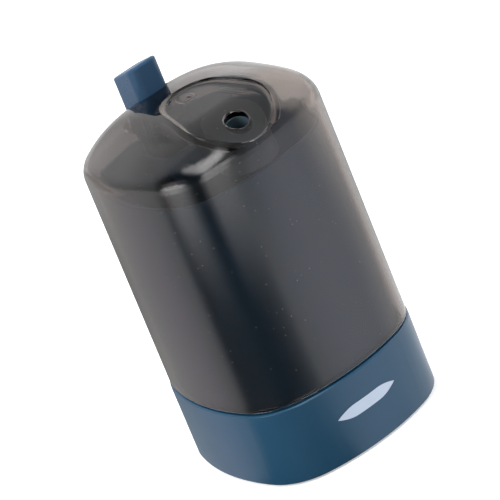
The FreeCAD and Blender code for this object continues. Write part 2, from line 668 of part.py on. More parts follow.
def crown_block(name, lowered):
    """Everything below the domed top, lowered by a wall thickness."""
    top = size("crown_top") - size(lowered)
    reach, count = size("body_half") + 2, 17
    places = [reach * (2 * index / (count - 1) - 1) for index in range(count)]
    grid = [[Vector(x, y, crown_height(x, y, top)) for y in places] for x in places]
    surface = Part.BSplineSurface()
    surface.interpolate(grid)
    item = doc.addObject("Part::Feature", name)
    item.Shape = surface.toShape().extrude(Vector(0, 0, -top))
    return item


def tapered_outline(name, half, low, high):
    """A tall prism on the bowed square that narrows slightly upwards."""
    base = outline(doc.addObject("Sketcher::SketchObject", name + "_plan"), half)
    move(base, z=low)
    item = doc.addObject("Part::Extrusion", name)
    item.Base = base
    item.DirMode = "Custom"
    item.Dir = Vector(0, 0, 1)
    item.Solid = True
    return bind(item, LengthFwd=f"({high}) - ({low})", TaperAngle="-cover_draft")


def on_rim(edge):
    """Edges where the domed top meets the side walls."""
    b = edge.BoundBox
    return b.ZMin > size("collar_bottom") - 6 and b.ZLength < 12 and reach_of(edge) > 20


COVER_BOTTOM = "base_top + seat_height + cover_lift_gap"


def domed_solid(name, inset, lowered, radius):
    prism = tapered_outline(name + "_prism", f"body_half - cover_step - ({inset})",
                            COVER_BOTTOM, "crown_top + 10")
    sharp = common(name + "_sharp", prism, crown_block(name + "_crown", lowered))
    return round_edges(name, sharp, radius, on_rim)


def dish_plan(sketch, grow):
    """An egg: a large arc in front, a small one behind and two straight tangents."""
    front_y, rear_y = size("dish_front_y"), size("dish_rear_y")
    big = size(f"dish_front_radius + ({grow})")
    small = size(f"dish_rear_radius + ({grow})")
    lean = math.asin((big - small) / (rear_y - front_y))
    normal = Vector(0, 0, 1)
    front = Part.Circle(Vector(0, front_y, 0), normal, big)
    rear = Part.Circle(Vector(0, rear_y, 0), normal, small)
    sketch.addGeometry(Part.ArcOfCircle(front, math.pi - lean, 2 * math.pi + lean))
    sketch.addGeometry(Part.ArcOfCircle(rear, lean, math.pi - lean))
    right = Vector(math.cos(lean), math.sin(lean), 0)
    left = Vector(-right.x, right.y, 0)
    centre_front, centre_rear = Vector(0, front_y, 0), Vector(0, rear_y, 0)
    sketch.addGeometry(Part.LineSegment(centre_front + right * big, centre_rear + right * small))
    sketch.addGeometry(Part.LineSegment(centre_rear + left * small, centre_front + left * big))
    for here, here_end, after, after_end in ((0, 2, 2, 1), (2, 2, 1, 1), (1, 2, 3, 1), (3, 2, 0, 1)):
        sketch.addConstraint(Sketcher.Constraint("Tangent", here, here_end, after, after_end))
    for arc, y, radius in ((0, "dish_front_y", "dish_front_radius"),
                           (1, "dish_rear_y", "dish_rear_radius")):
        constrain(sketch, "Radius", arc, text=f"{radius} + ({grow})")
        constrain(sketch, "DistanceX", arc, 3, text="0")
        constrain(sketch, "DistanceY", arc, 3, text=y)
    return sketch


def dish_profile(sketch, lowered):
    """Side view of the dish's floor: nearly level, then curving down to the front lip."""
    start_y, end_y = size("dish_start_y"), size("dish_lip_y")
    bend_y, radius = size("dish_bend_y"), size("dish_bend_radius")
    start_z = size(f"dish_floor_rear - ({lowered})")
    bend_z = size(f"dish_floor_bend - ({lowered})")
    slope = math.atan2(start_z - bend_z, start_y - bend_y)
    centre = Vector(bend_y + radius * math.sin(slope), bend_z - radius * math.cos(slope), 0)
    last = math.acos((end_y - centre.x) / radius)
    lip = centre + Vector(math.cos(last), math.sin(last), 0) * radius
    front_y, top = size("-body_half - 5"), size("crown_top + 10")
    corners = [lip, Vector(front_y, lip.y, 0), Vector(front_y, top, 0),
               Vector(start_y, top, 0), Vector(start_y, start_z, 0), Vector(bend_y, bend_z, 0)]
    for here, after in zip(corners, corners[1:]):
        sketch.addGeometry(Part.LineSegment(here, after))
    roll = Part.Circle(centre, Vector(0, 0, 1), radius)
    sketch.addGeometry(Part.ArcOfCircle(roll, math.pi / 2 + slope, last))
    for line in range(4):
        sketch.addConstraint(Sketcher.Constraint("Coincident", line, 2, line + 1, 1))
    sketch.addConstraint(Sketcher.Constraint("Coincident", 5, 2, 0, 1))
    sketch.addConstraint(Sketcher.Constraint("Tangent", 4, 2, 5, 1))
    sketch.addConstraint(Sketcher.Constraint("Horizontal", 0))
    constrain(sketch, "Radius", 5, text="dish_bend_radius")
    constrain(sketch, "DistanceX", 5, 2, text="dish_lip_y")
    constrain(sketch, "DistanceX", 5, 1, text="dish_bend_y")
    constrain(sketch, "DistanceY", 5, 1, text=f"dish_floor_bend - ({lowered})")
    constrain(sketch, "DistanceX", 4, 1, text="dish_start_y")
    constrain(sketch, "DistanceY", 4, 1, text=f"dish_floor_rear - ({lowered})")
    constrain(sketch, "DistanceX", 2, 1, text="-body_half - 5")
    constrain(sketch, "DistanceY", 2, 1, text="crown_top + 10")
    sketch.addConstraint(Sketcher.Constraint("Vertical", 1))
    constrain(sketch, "DistanceX", 3, 1, text="dish_start_y")
    sketch.addConstraint(Sketcher.Constraint("Horizontal", 2))
    return sketch


def above_floor(name, lowered):
    """Everything above the dish's floor, or above that floor lowered by a thickness."""
    side = dish_profile(doc.addObject("Sketcher::SketchObject", name + "_side"), lowered)
    side.Placement.Rotation = FreeCAD.Rotation(Vector(1, 1, 1), 120)
    item = doc.addObject("Part::Extrusion", name)
    item.Base = side
    item.DirMode = "Custom"
    item.Dir = Vector(1, 0, 0)
    item.Solid = True
    item.Symmetric = True
    return bind(item, LengthFwd="2 * body_half")


def dish_solid(name, grow, lowered):
    """The egg-shaped prism above the dish's floor."""
    plan = dish_plan(doc.addObject("Sketcher::SketchObject", name + "_plan"), grow)
    move(plan, z="collar_bottom - 6")
    egg = doc.addObject("Part::Extrusion", name + "_egg")
    egg.Base = plan
    egg.DirMode = "Custom"
    egg.Dir = Vector(0, 0, 1)
    egg.Solid = True
    bind(egg, LengthFwd="crown_top - collar_bottom + 12")
    return common(name, egg, above_floor(name + "_above", lowered))


def on_dish_floor(edge):
    return edge.BoundBox.ZMax < size("crown_top") and edge.BoundBox.YLength > 0.5


def button_well(name, play, low, high, corner):
    """A block around the button's path, with rounded upright edges."""
    sharp = box(name + "_block", (f"-(cap_half_x + {play})", f"cap_half_x + {play}"),
                (f"rod_y - cap_half_y - ({play})", f"rod_y + cap_half_y + {play}"), (low, high))
    return round_edges(name, sharp, corner, upright)


def make_cover_shell():
    """Thin domed cover: dish with an outlet hole, slot and collar for the button."""
    outer = domed_solid("cover_outer", "0", "0", "rim_round")
    dome_room = domed_solid("cover_inner", "cover_wall", "cover_wall", "rim_round - cover_wall")
    mouth = tapered_outline("cover_mouth", "body_half - cover_step - cover_wall",
                            f"{COVER_BOTTOM} - 1", f"{COVER_BOTTOM} + 1")
    collar = button_well("collar", "slot_play + collar_wall", "collar_bottom", "crown_top + 5",
                         "slot_corner")
    inward = fuse("inward_forms", [dish_solid("dish_underside", "cover_wall", "cover_wall"),
                                   collar])
    room = cut("cover_room", fuse("cover_hollow", [dome_room, mouth]), inward)
    dish = round_edges("dish", dish_solid("dish_sharp", "0", "0"), "dish_round", on_dish_floor)
    slot_well = button_well("button_slot", "slot_play", "collar_bottom - 5", "crown_top + 10",
                            "slot_corner")
    hole = rod("outlet_hole", "outlet_radius", "collar_bottom", "crown_top", y="ejector_y")
    return cut("cover_shell", outer, fuse("cover_openings", [room, dish, slot_well, hole]))


def circle_at(name, radius, y, z):
    item = circle(doc.addObject("Sketcher::SketchObject", name), radius, "0", y)
    return move(item, z=z)


def make_outlet_funnel():
    """A round guide under the dish whose inside narrows to the outlet hole."""
    wall = rod("funnel_wall", "funnel_radius", "funnel_bottom", "crown_top", y="funnel_y")
    trimmed = cut("funnel_trimmed", wall, above_floor("funnel_limit", "cover_wall + 0.1"))
    throat = doc.addObject("Part::Loft", "funnel_throat")
    throat.Sections = [
        circle_at("funnel_mouth", "funnel_radius - funnel_wall", "funnel_y", "funnel_bottom"),
        circle_at("funnel_neck", "outlet_radius + 0.1", "ejector_y", "funnel_top")]
    throat.Solid = True
    throat.Ruled = True
    return cut("outlet_funnel", trimmed, throat)


# ---------------------------------------------------------------- build, check and write
parts = [make_base_shell(), make_base_plate()]
parts += [make_foot(place, signs) for place, signs in CORNERS.items()]
parts += [
    make_screws("base_plate_screws", at_corners("foot_place", "foot_place"),
                "ground_gap + foot_recess + head_recess", "long_screw", up=True),
    make_hopper(),
    make_screws("hopper_screws", at_corners("hopper_screw_x", "hopper_screw_y"),
                "base_top - deck_thick", "short_screw", up=True),
    make_feed_ramp(),
    make_bush("rod_bush", "rod_y"),
    make_bush("ejector_bush", "ejector_y"),
    make_lever_bracket(),
    make_screws("bracket_screws", [(f"{sign}bracket_screw_x", "lever_axis_y") for sign in ("-", "")],
                "bracket_floor + bracket_thick", "short_screw", up=False),
    make_axle(),
    make_rocker_lever(),
    make_return_spring(),
    make_ejector_rod(),
    cross_rod("ejector_pin", "pin_radius", "pin_half", "ejector_y", pin_height("ejector")),
    make_push_rod(),
    cross_rod("rod_pin", "pin_radius", "pin_half", "rod_y", pin_height("rod")),
    make_button_cap(),
    make_cover_shell(),
    make_outlet_funnel(),
]
doc.recompute()

for item in doc.Objects:
    if "Invalid" in item.State or "Error" in item.State:
        raise RuntimeError(f"{item.Name} was not built: {item.State}")
for part in parts:
    if part.Shape.isNull() or not part.Shape.isValid() or not part.Shape.Solids:
        raise RuntimeError(f"{part.Label} has no sound shape")

os.makedirs("parts", exist_ok=True)
for part in parts:
    part.Shape.exportStep(f"parts/{part.Label}.step")
    print(f"{part.Label}: {len(part.Shape.Solids)} solids, {part.Shape.Volume / 1000:.2f} cm3")
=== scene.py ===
import math

import bmesh
import bpy
import numpy as np
from mathutils import Matrix, Vector
from mathutils.bvhtree import BVHTree
from mathutils.geometry import delaunay_2d_cdt


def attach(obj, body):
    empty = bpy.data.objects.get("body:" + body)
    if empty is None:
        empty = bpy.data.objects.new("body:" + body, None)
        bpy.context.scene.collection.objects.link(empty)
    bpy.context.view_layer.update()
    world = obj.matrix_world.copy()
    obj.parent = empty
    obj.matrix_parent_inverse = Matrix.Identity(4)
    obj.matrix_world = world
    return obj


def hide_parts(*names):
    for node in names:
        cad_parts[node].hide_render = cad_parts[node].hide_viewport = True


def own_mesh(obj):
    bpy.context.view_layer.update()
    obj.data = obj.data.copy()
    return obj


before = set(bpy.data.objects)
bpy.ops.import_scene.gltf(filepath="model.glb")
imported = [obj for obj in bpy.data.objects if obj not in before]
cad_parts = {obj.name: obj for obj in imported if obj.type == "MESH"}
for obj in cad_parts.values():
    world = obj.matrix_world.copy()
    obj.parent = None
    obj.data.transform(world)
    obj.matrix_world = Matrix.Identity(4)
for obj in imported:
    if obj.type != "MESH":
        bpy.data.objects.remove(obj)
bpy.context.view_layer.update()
MM = 0.001

# Toothpick dispenser.  +Z is up, the front with the outlet hole faces -Y, and lengths in the
# shape code are in millimetres until a mesh is written.


# ------------------------------------------------------------------ materials
class Value:
    """A socket with arithmetic: an expression on values adds its Math nodes."""

    def __init__(self, graph, socket):
        self.graph = graph
        self.socket = socket

    def math(self, operation, other=0.0, swapped=False):
        first, second = (other, self) if swapped else (self, other)
        return self.graph.node("ShaderNodeMath", {"operation": operation}, {0: first, 1: second})

    def __add__(self, other):
        return self.math("ADD", other)

    __radd__ = __add__

    def __sub__(self, other):
        return self.math("SUBTRACT", other)

    def __rsub__(self, other):
        return self.math("SUBTRACT", other, swapped=True)

    def __mul__(self, other):
        return self.math("MULTIPLY", other)

    __rmul__ = __mul__

    def __truediv__(self, other):
        return self.math("DIVIDE", other)

    def above(self, limit):
        return self.math("GREATER_THAN", limit)

    def below(self, limit):
        return self.math("LESS_THAN", limit)

    def positive(self):
        """The value, or 0 where it is negative."""
        return self.math("MAXIMUM")

    def clipped(self):
        """The value kept between 0 and 1."""
        made = self.math("ADD")
        made.socket.node.use_clamp = True
        return made

    def sibling(self, output):
        """Another output of the node that this value comes from."""
        return Value(self.graph, self.socket.node.outputs[output])


class Graph:
    """A node tree while it is put together."""

    def node(self, kind, settings=None, inputs=None, output=0):
        """Add a node: its settings first, a ramp's stops among them, then its sockets."""
        made = self.tree.nodes.new(kind)
        for key, value in (settings or {}).items():
            if key == "stops":
                self.set_stops(made.color_ramp, value)
            else:
                setattr(made, key, value)
        for key, value in (inputs or {}).items():
            for one in value if isinstance(value, list) else [value]:
                if isinstance(one, Value):
                    self.tree.links.new(one.socket, made.inputs[key])
                else:
                    made.inputs[key].default_value = one
        return Value(self, made.outputs[output])

    @staticmethod
    def set_stops(ramp, stops):
        while len(ramp.elements) > 1:
            ramp.elements.remove(ramp.elements[-1])
        ramp.elements[0].position, ramp.elements[0].color = stops[0]
        for position, colour in stops[1:]:
            ramp.elements.new(position).color = colour

    def vector(self, x=0.0, y=0.0, z=0.0):
        return self.node("ShaderNodeCombineXYZ", {}, {0: x, 1: y, 2: z})


class Finish(Graph):
    """One material, or the world."""

    def __init__(self, name, kind="materials"):
        self.owner = getattr(bpy.data, kind).new(name)
        self.owner.use_nodes = True
        self.tree = self.owner.node_tree
        self.tree.nodes.clear()

    def place(self):
        return self.node("ShaderNodeTexCoord", output=3)

    def split(self, vector):
        """The three parts of a vector."""
        x = self.node("ShaderNodeSeparateXYZ", {}, {0: vector})
        return x, x.sibling(1), x.sibling(2)

    def rise(self, value, low, high):
        """A smooth step from 0 at low to 1 at high."""
        return self.node("ShaderNodeMapRange", {"interpolation_type": "SMOOTHSTEP"},
                         {0: value, 1: low, 2: high})

    def noise(self, scale, detail, roughness=0.55):
        return self.node("ShaderNodeTexNoise", {}, {"Vector": self.place(), "Scale": scale,
                                                    "Detail": detail, "Roughness": roughness})

    def mix(self, share, first, second):
        """A colour between two colours."""
        return self.node("ShaderNodeMix", {"data_type": "RGBA"},
                         {0: share, 6: first, 7: second}, output=2)

    def bump(self, height, strength, distance):
        return self.node("ShaderNodeBump", {}, {"Height": height, "Strength": strength,
                                                "Distance": distance})

    def surface(self, shader, volume=None):
        made = self.tree.nodes.new("ShaderNodeOutputMaterial")
        self.tree.links.new(shader.socket, made.inputs["Surface"])
        if volume:
            self.tree.links.new(volume.socket, made.inputs["Volume"])
        return self.owner


def srgb(red, green, blue):
    """A display colour from 0 to 255 as the linear colour that a shader takes."""
    return tuple((c / 255 / 12.92) if c <= 10 else ((c / 255 + 0.055) / 1.055) ** 2.4
                 for c in (red, green, blue)) + (1.0,)


def moulded_plastic(name, deep, pale, rough, grain=0.25, sheen=0.5):
    """Satin moulded plastic: cloudy colour, fine spark-eroded grain and faint rubbed patches."""
    f = Finish(name)
    cloud = f.noise(38.0, 4.0)
    fine = f.noise(5200.0, 2.0, 0.6)
    rubbed = f.noise(120.0, 6.0, 0.7)
    colour = f.mix((cloud * 1.6 - 0.3).clipped(), deep, pale)
    roughness = rough + (rubbed - 0.5) * 0.16
    shader = f.node("ShaderNodeBsdfPrincipled", {}, {
        "Base Color": colour, "Roughness": roughness, "IOR": 1.49, "Specular IOR Level": sheen,
        "Normal": f.bump(fine, grain, 0.00002)})
    return f.surface(shader)


def smoked_plastic(name):
    """Clear smoke-grey plastic, polished, with a slight waviness, faint smears and dust specks."""
    f = Finish(name)
    wave = f.noise(45.0, 2.0, 0.4)
    smear = f.noise(70.0, 1.0, 0.5)
    dust = f.node("ShaderNodeTexVoronoi", {}, {"Vector": f.place(), "Scale": 400.0})
    roughness = 0.022 + (smear - 0.5).clipped() * 0.14 + dust.below(0.04) * 0.8
    shader = f.node("ShaderNodeBsdfPrincipled", {}, {
        "Base Color": (1.0, 1.0, 1.0, 1.0), "Roughness": roughness, "IOR": 1.53,
        "Transmission Weight": 1.0, "Normal": f.bump(wave, 0.02, 0.0004)})
    smoke = f.node("ShaderNodeVolumeAbsorption", {}, {
        "Color": (0.14, 0.05, 0.02, 1.0), "Density": 520.0})
    return f.surface(shader, smoke)


def dark_rubber(name):
    f = Finish(name)
    fine = f.noise(1500.0, 4.0, 0.6)
    colour = f.mix(fine, srgb(26, 26, 28), srgb(48, 48, 50))
    shader = f.node("ShaderNodeBsdfPrincipled", {}, {
        "Base Color": colour, "Roughness": 0.75 + (fine - 0.5) * 0.2,
        "Normal": f.bump(fine, 0.4, 0.00005)})
    return f.surface(shader)


def bright_steel(name):
    f = Finish(name)
    drawn = f.noise(900.0, 3.0, 0.6)
    shader = f.node("ShaderNodeBsdfPrincipled", {}, {
        "Base Color": f.mix(drawn, srgb(168, 170, 172), srgb(200, 201, 204)), "Metallic": 1.0,
        "Roughness": 0.28 + (drawn - 0.5) * 0.2, "Normal": f.bump(drawn, 0.15, 0.00002)})
    return f.surface(shader)


BLUE = moulded_plastic("blue_plastic", srgb(14, 62, 89), srgb(20, 68, 96), 0.34)
BUTTON_BLUE = moulded_plastic("blue_button", srgb(50, 77, 104), srgb(58, 85, 113), 0.26, 0.12, 0.10)
CONTAINER_BLUE = moulded_plastic("blue_container", srgb(54, 98, 130), srgb(62, 106, 137), 0.34, 0.02)
RAMP_BLUE = moulded_plastic("ramp_plastic", srgb(48, 90, 120), srgb(58, 100, 130), 0.40, 0.1)
FUNNEL_SLATE = moulded_plastic("funnel_plastic", srgb(84, 104, 114), srgb(94, 114, 124), 0.42, 0.1)
ROD_GREY = moulded_plastic("rod_plastic", srgb(48, 56, 64), srgb(56, 64, 72), 0.40, 0.1)
ACETAL = moulded_plastic("acetal", srgb(212, 212, 208), srgb(224, 224, 220), 0.38)
SMOKE = smoked_plastic("smoked_plastic")
RUBBER = dark_rubber("foot_rubber")
STEEL = bright_steel("bright_steel")
PRINT = moulded_plastic("pale_print", srgb(184, 199, 220), srgb(196, 209, 228), 0.42, 0.35)


# ------------------------------------------------------------------ the cover's shape
TINY = 1e-12
HALF, SIDE_R, CORNER_R = 31.0, 58.6, 17.0
SIDE_OFF = SIDE_R - HALF
CORNER_AT = (math.sqrt(2 * (SIDE_R - CORNER_R) ** 2 - SIDE_OFF ** 2) - SIDE_OFF) / 2
HALF_SIDE = math.atan2(CORNER_AT, CORNER_AT + SIDE_OFF)
COVER_LOW, COVER_STEP, DRAFT, WALL = 23.7, 0.25, 0.2, 1.8
RIM_Z, RIM_ROUND = 97.0, 6.5
RIM_INSET = COVER_STEP + (RIM_Z - COVER_LOW) * math.tan(math.radians(DRAFT))
SLOPE_STEP, HALVINGS = 0.01, 28

# the crown: its top, how far it drops to the edge, its forward tilt and the powers of its curve
CROWN_TOP, CROWN_DROP, CROWN_TILT = 103.0, 11.2, 2.4
PLAN_POWER, POWER_REAR, POWER_FRONT = 2.81, 3.4, 4.0

# the dish: an egg-shaped edge, a floor that bends down towards the front, and a wall
EGG_FRONT_Y, EGG_FRONT_R, EGG_REAR_Y, EGG_REAR_R = -17.2, 12.6, -5.0, 10.0
EGG_LEAN = math.asin((EGG_FRONT_R - EGG_REAR_R) / (EGG_REAR_Y - EGG_FRONT_Y))
FLOOR_REAR_Y, FLOOR_REAR_Z, BEND_Y, BEND_Z, BEND_R = 8.0, 102.2, -12.0, 101.4, 31.0
FLOOR_SLOPE = math.atan2(FLOOR_REAR_Z - BEND_Z, FLOOR_REAR_Y - BEND_Y)
STEEP, ARC_SHARE, LEAST_RISE = 4.0, 0.96, 0.15
FRONT_ROUND, REAR_ROUND, ROUND_FROM_Y, ROUND_OVER = 1.4, 1.9, -21.0, 13.0
EDGE_CRISP, EDGE_SOFT, EDGE_FROM_Y, EDGE_OVER, UNDERSIDE_EDGE = 0.03, 0.12, -18.0, 14.0, 0.5

# the moulding gate: a shallow ring round a stub
RING_R, RING_DEPTH, RING_WIDTH = 2.55, 0.06, 0.22
STUB_X, STUB_Y, STUB_R, STUB_HEIGHT = 0.5, -0.3, 0.42, 0.15


def plan_curve(side_steps, corner_steps):
    """The bowed square, counter-clockwise, as points and outward normals."""
    points, normals = [], []
    for quarter in range(4):
        turn = quarter * math.pi / 2
        ahead = np.array([math.cos(turn), math.sin(turn)])
        left = np.array([-ahead[1], ahead[0]])
        arcs = ((-ahead * SIDE_OFF, SIDE_R, -HALF_SIDE, HALF_SIDE, side_steps),
                ((ahead + left) * CORNER_AT, CORNER_R, HALF_SIDE, math.pi / 2 - HALF_SIDE,
                 corner_steps))
        for centre, radius, start, end, steps in arcs:
            for angle in np.linspace(start, end, steps, endpoint=False) + turn:
                out = np.array([math.cos(angle), math.sin(angle)])
                points.append(centre + out * radius)
                normals.append(out)
    return np.array(points), np.array(normals)


def from_edge(x, y):
    """How far inside the bowed square a point lies, and the outward normal there."""
    ax, ay = np.abs(x), np.abs(y)
    swap = ay > ax
    u, v = np.where(swap, ay, ax), np.where(swap, ax, ay)
    side_angle = np.arctan2(v, u + SIDE_OFF)
    at_side = (side_angle <= HALF_SIDE) | (u < CORNER_AT)
    to_side = np.hypot(u + SIDE_OFF, v)
    du, dv = u - CORNER_AT, v - CORNER_AT
    to_corner = np.maximum(np.hypot(du, dv), TINY)
    inside = np.where(at_side, SIDE_R - to_side, CORNER_R - to_corner)
    nu = np.where(at_side, (u + SIDE_OFF) / to_side, du / to_corner)
    nv = np.where(at_side, v / to_side, dv / to_corner)
    nx, ny = np.where(swap, nv, nu), np.where(swap, nu, nv)
    return inside, nx * np.sign(x + TINY), ny * np.sign(y + TINY)


def smooth(share):
    share = np.clip(share, 0, 1)
    return share * share * (3 - 2 * share)


def crown(x, y):
    """Height of the domed top before its rim is rounded."""
    spread = ((np.abs(x) / HALF) ** PLAN_POWER + (np.abs(y) / HALF) ** PLAN_POWER) ** (1 / PLAN_POWER)
    power = POWER_REAR + (POWER_FRONT - POWER_REAR) * smooth(-y / HALF)
    return CROWN_TOP - CROWN_DROP * spread ** power - CROWN_TILT * y / HALF


class Dome:
    """The cover's outside, or its inside, which is thinner by the wall: rounded rim, crown, dish."""

    def __init__(self, thinner):
        self.inset = RIM_INSET + thinner
        self.lowered = thinner
        self.rim = RIM_ROUND - thinner

    def rim_of(self, x, y, nx, ny):
        """For wall points and their normals: where the rim's arc ends, and its centre's height."""
        low, high = np.zeros_like(x), np.full_like(x, self.rim)

        def height(t):
            return crown(x - t * nx, y - t * ny) - self.lowered

        def slope(t):
            return np.arctan((height(t + SLOPE_STEP) - height(t - SLOPE_STEP)) / (2 * SLOPE_STEP))

        for _ in range(HALVINGS):
            mid = (low + high) / 2
            over = mid + self.rim * np.sin(slope(mid)) > self.rim
            high = np.where(over, mid, high)
            low = np.where(over, low, mid)
        reach = (low + high) / 2
        return reach, height(reach) - self.rim * np.cos(slope(reach))

    def dome(self, x, y):
        inside, nx, ny = from_edge(x, y)
        deep = inside - self.inset
        wall_x, wall_y = x + deep * nx, y + deep * ny
        reach, centre = self.rim_of(wall_x, wall_y, nx, ny)
        arc = centre + np.sqrt(np.maximum(self.rim ** 2 - (self.rim - deep) ** 2, 0))
        return np.where(deep < reach, arc, crown(x, y) - self.lowered)

    def dish(self, x, y):
        """The dish as a height: its floor, curving up into a steep wall.

        The curve's radius and its reach follow the nearest point of the edge, so that it meets
        the dome there."""
        deep, edge_y = egg_depth(x, y)
        rearward = smooth((edge_y - ROUND_FROM_Y) / ROUND_OVER)
        radius = FRONT_ROUND + (REAR_ROUND - FRONT_ROUND) * rearward
        rise = np.maximum(np.polyval(RISE_FIT, edge_y), LEAST_RISE)
        on_arc = np.minimum(rise, radius * (1 - math.sqrt(1 - ARC_SHARE ** 2)))
        reach = np.sqrt(2 * radius * on_arc - on_arc ** 2) + (rise - on_arc) / STEEP
        inner = np.clip(reach - deep, 0, None)
        whole = radius + self.lowered
        bent = np.minimum(inner / whole, ARC_SHARE)
        wall = whole * (1 - np.sqrt(1 - bent ** 2))
        wall = wall + np.maximum(inner - ARC_SHARE * whole, 0) * STEEP
        return floor_line(y) - self.lowered + wall

    def height(self, x, y):
        """The lower of dome and dish, with the edge between them softened towards the rear."""
        a, b = self.dome(x, y), self.dish(x, y)
        edge = EDGE_CRISP + (EDGE_SOFT - EDGE_CRISP) * smooth((y - EDGE_FROM_Y) / EDGE_OVER)
        edge = edge + (UNDERSIDE_EDGE if self.lowered else 0.0)
        near = np.clip(0.5 + (b - a) / (2 * edge), 0, 1)
        return b + (a - b) * near - edge * near * (1 - near) + self.gate(x, y)

    def gate(self, x, y):
        """A shallow ring and a stub where the plastic was injected, on the outside only."""
        if self.lowered:
            return np.zeros_like(x)
        from_ring = (np.hypot(x, y) - RING_R) / RING_WIDTH
        from_stub = np.hypot(x - STUB_X, y - STUB_Y) / STUB_R
        return STUB_HEIGHT * np.exp(-from_stub ** 4) - RING_DEPTH * np.exp(-from_ring ** 2)


def egg_depth(x, y):
    """Distance inside the egg-shaped edge of the dish, and the y of the nearest edge point."""
    ax = np.abs(x)
    cos, sin = math.cos(EGG_LEAN), math.sin(EGG_LEAN)
    to_line = EGG_FRONT_R - (ax * cos + (y - EGG_FRONT_Y) * sin)
    along = (y - EGG_FRONT_Y) * cos - ax * sin
    length = (EGG_REAR_Y - EGG_FRONT_Y) * cos
    to_front = np.maximum(np.hypot(x, y - EGG_FRONT_Y), TINY)
    to_rear = np.maximum(np.hypot(x, y - EGG_REAR_Y), TINY)
    deep = np.where(along < 0, EGG_FRONT_R - to_front,
                    np.where(along > length, EGG_REAR_R - to_rear, to_line))
    front_y = EGG_FRONT_Y + (y - EGG_FRONT_Y) * EGG_FRONT_R / to_front
    rear_y = EGG_REAR_Y + (y - EGG_REAR_Y) * EGG_REAR_R / to_rear
    edge_y = np.where(along < 0, front_y, np.where(along > length, rear_y, y + to_line * sin))
    return deep, edge_y


def egg_curve(grow, count):
    """Points round the egg, moved outwards by grow."""
    angles = np.linspace(0, 2 * math.pi, count, endpoint=False)
    big, small = EGG_FRONT_R + grow, EGG_REAR_R + grow
    points = []
    for angle in angles:
        at_rear = EGG_LEAN < angle < math.pi - EGG_LEAN
        centre, radius = (EGG_REAR_Y, small) if at_rear else (EGG_FRONT_Y, big)
        points.append((radius * math.cos(angle), centre + radius * math.sin(angle)))
    return np.array(points)


def floor_line(y):
    """Side view of the dish's floor: nearly level, then curving down to the front."""
    centre_y = BEND_Y + BEND_R * math.sin(FLOOR_SLOPE)
    centre_z = BEND_Z - BEND_R * math.cos(FLOOR_SLOPE)
    straight = BEND_Z + (y - BEND_Y) * math.tan(FLOOR_SLOPE)
    past = np.clip(centre_y - y, 0, BEND_R * 0.999)
    rolled = centre_z + np.sqrt(BEND_R ** 2 - past ** 2)
    return np.where(y < BEND_Y, rolled, straight)


# ------------------------------------------------------------------ mesh building
WELD_STEPS = 20000
WALL_ROWS, SIDE_STEPS, CORNER_STEPS, EGG_STEPS, GATE_STEPS = 14, 26, 20, 190, 40
STRIP_DEGREES, RIM_DEGREES = (6.5, 13.0, 19.5, 26.0), (33.0, 40.0)
GRID, GRID_GAP, GRID_MARGIN, LOOP_MARGIN, BLOCK = 1.15, 0.45, 0.4, 0.25, 256
DISH_LOOPS = (-1.0, -0.6, -0.35, -0.18, -0.06, 0.05, 0.16, 0.3, 0.5, 0.75, 1.05, 1.4, 1.8, 2.3, 3.0,
              3.9, 5.0)
UNDERSIDE_LOOPS = (-3.4, -2.9, -2.5, -2.1, -1.75, -1.4, -1.1, -0.8, -0.5, -0.2, 0.1, 0.4, 0.75, 1.15,
                   1.6, 2.2, 3.0, 4.0)
GATE_LOOPS = (0.35, 0.7, 2.1, 2.35, 2.55, 2.75, 3.0)


class Skin:
    """Faces with their own normals, welded into one closed mesh by position."""

    def __init__(self):
        self.index = {}
        self.points = []
        self.faces = []
        self.normals = []

    def vertex(self, point):
        key = tuple(int(round(c * WELD_STEPS)) for c in point)
        if key not in self.index:
            self.index[key] = len(self.points)
            self.points.append(tuple(point))
        return self.index[key]

    def face(self, corners, normals):
        numbers = [self.vertex(p) for p in corners]
        kept = [i for i, n in enumerate(numbers) if n != numbers[i - 1]]
        if len(kept) > 2:
            self.faces.append([numbers[i] for i in kept])
            self.normals.extend(normals[i] for i in kept)

    def grid(self, rows, normals):
        """Quads between rows of points that each close on themselves."""
        count = len(rows[0])
        for r in range(len(rows) - 1):
            for c in range(count):
                d = (c + 1) % count
                order = ((r, c), (r, d), (r + 1, d), (r + 1, c))
                self.face([rows[i][j] for i, j in order], [normals[i][j] for i, j in order])

    def mesh(self, name):
        made = bpy.data.meshes.new(name)
        made.from_pydata([tuple(c * MM for c in p) for p in self.points], [], self.faces)
        made.polygons.foreach_set("use_smooth", [True] * len(made.polygons))
        unit = [tuple(np.array(n) / np.linalg.norm(n)) for n in self.normals]
        made.normals_split_custom_set(unit)
        return made


def up_normals(height, x, y):
    dx = (height(x + SLOPE_STEP, y) - height(x - SLOPE_STEP, y)) / (2 * SLOPE_STEP)
    dy = (height(x, y + SLOPE_STEP) - height(x, y - SLOPE_STEP)) / (2 * SLOPE_STEP)
    return np.column_stack([-dx, -dy, np.ones_like(dx)])


